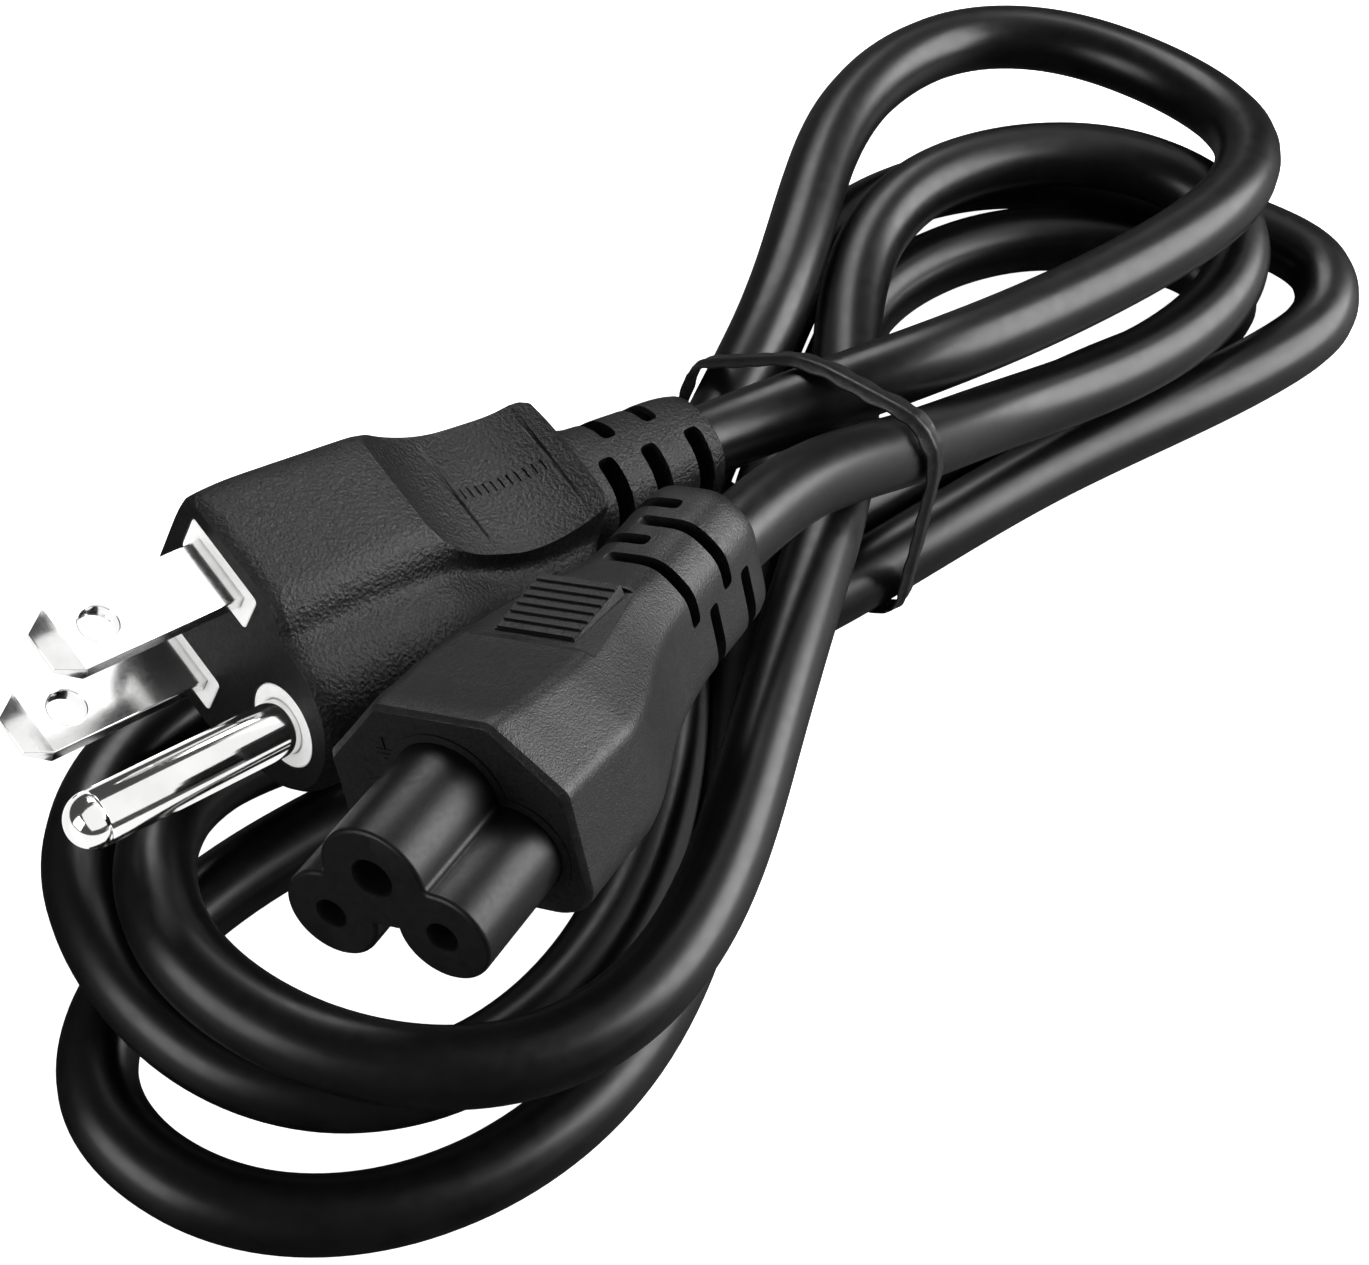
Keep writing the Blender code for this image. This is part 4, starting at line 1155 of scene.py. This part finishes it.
def lights(bright):
    """Dim surroundings that glow low at the right, and large soft lights."""
    world = bpy.data.worlds.new("studio")
    world.use_nodes = True
    back = world.node_tree.nodes["Background"]
    back.inputs["Color"].default_value = (1.0, 1.0, 1.0, 1.0)
    tree = world.node_tree
    right = node(tree, "ShaderNodeVectorMath", operation="DOT_PRODUCT")
    right.inputs[1].default_value = GLOW_WAY
    tree.links.new(node(tree, "ShaderNodeTexCoord").outputs["Generated"], right.inputs[0])
    glow = node(tree, "ShaderNodeMapRange", **GLOW_RANGE)
    tree.links.new(right.outputs["Value"], glow.inputs["Value"])
    tree.links.new(glow.outputs["Result"], back.inputs["Strength"])
    bpy.context.scene.world = world
    bpy.context.scene.view_settings.view_transform = "Standard"
    for name, way, far, size, brightness, bright_only in SOFTBOXES:
        softbox(name, way, far, size, brightness, bright if bright_only else None)


def camera():
    """Camera fitted to the photograph: place, direction and focal length."""
    right, down, ahead = Vector(CAM_RIGHT), Vector(CAM_DOWN), Vector(CAM_AHEAD)
    cam = bpy.data.cameras.new("photo_camera")
    cam.sensor_fit = "HORIZONTAL"
    cam.sensor_width = SENSOR_MM
    cam.lens = FOCAL_PX * SENSOR_MM / IMAGE_W
    cam.clip_start = 0.01
    cam.clip_end = 20.0
    obj = bpy.data.objects.new("photo_camera", cam)
    mat = Matrix((right, -down, -ahead)).transposed().to_4x4()
    mat.translation = Vector(CAM_AT) * MM
    obj.matrix_world = mat
    bpy.context.scene.collection.objects.link(obj)
    bpy.context.scene.camera = obj


PLUG_PLACE = placed(PLUG_AXES, PLUG_AT)
CONN_PLACE = placed(CONN_AXES, CONN_AT)
PLATE_TURN = tuple(PLUG_PLACE.to_3x3().inverted().to_euler())
SKIN = moulded_skin()
PLATE = worn_plate()


def main():
    camera()
    held = [
        plug_body(),
        plug_insert(),
        blade("upper_blade", -1, "blade_upper"),
        blade("lower_blade", 1, "blade_lower"),
        earth_pin(),
        connector_body(),
        connector_nose(),
    ]
    power_lead()
    contact_sleeves()
    tie_ribbon()
    pale_floor()
    bright = bpy.data.collections.new("bright_pieces")
    for piece in held[1:5]:
        bright.objects.link(piece)
    floor_card(bright)
    lights(bright)


main()
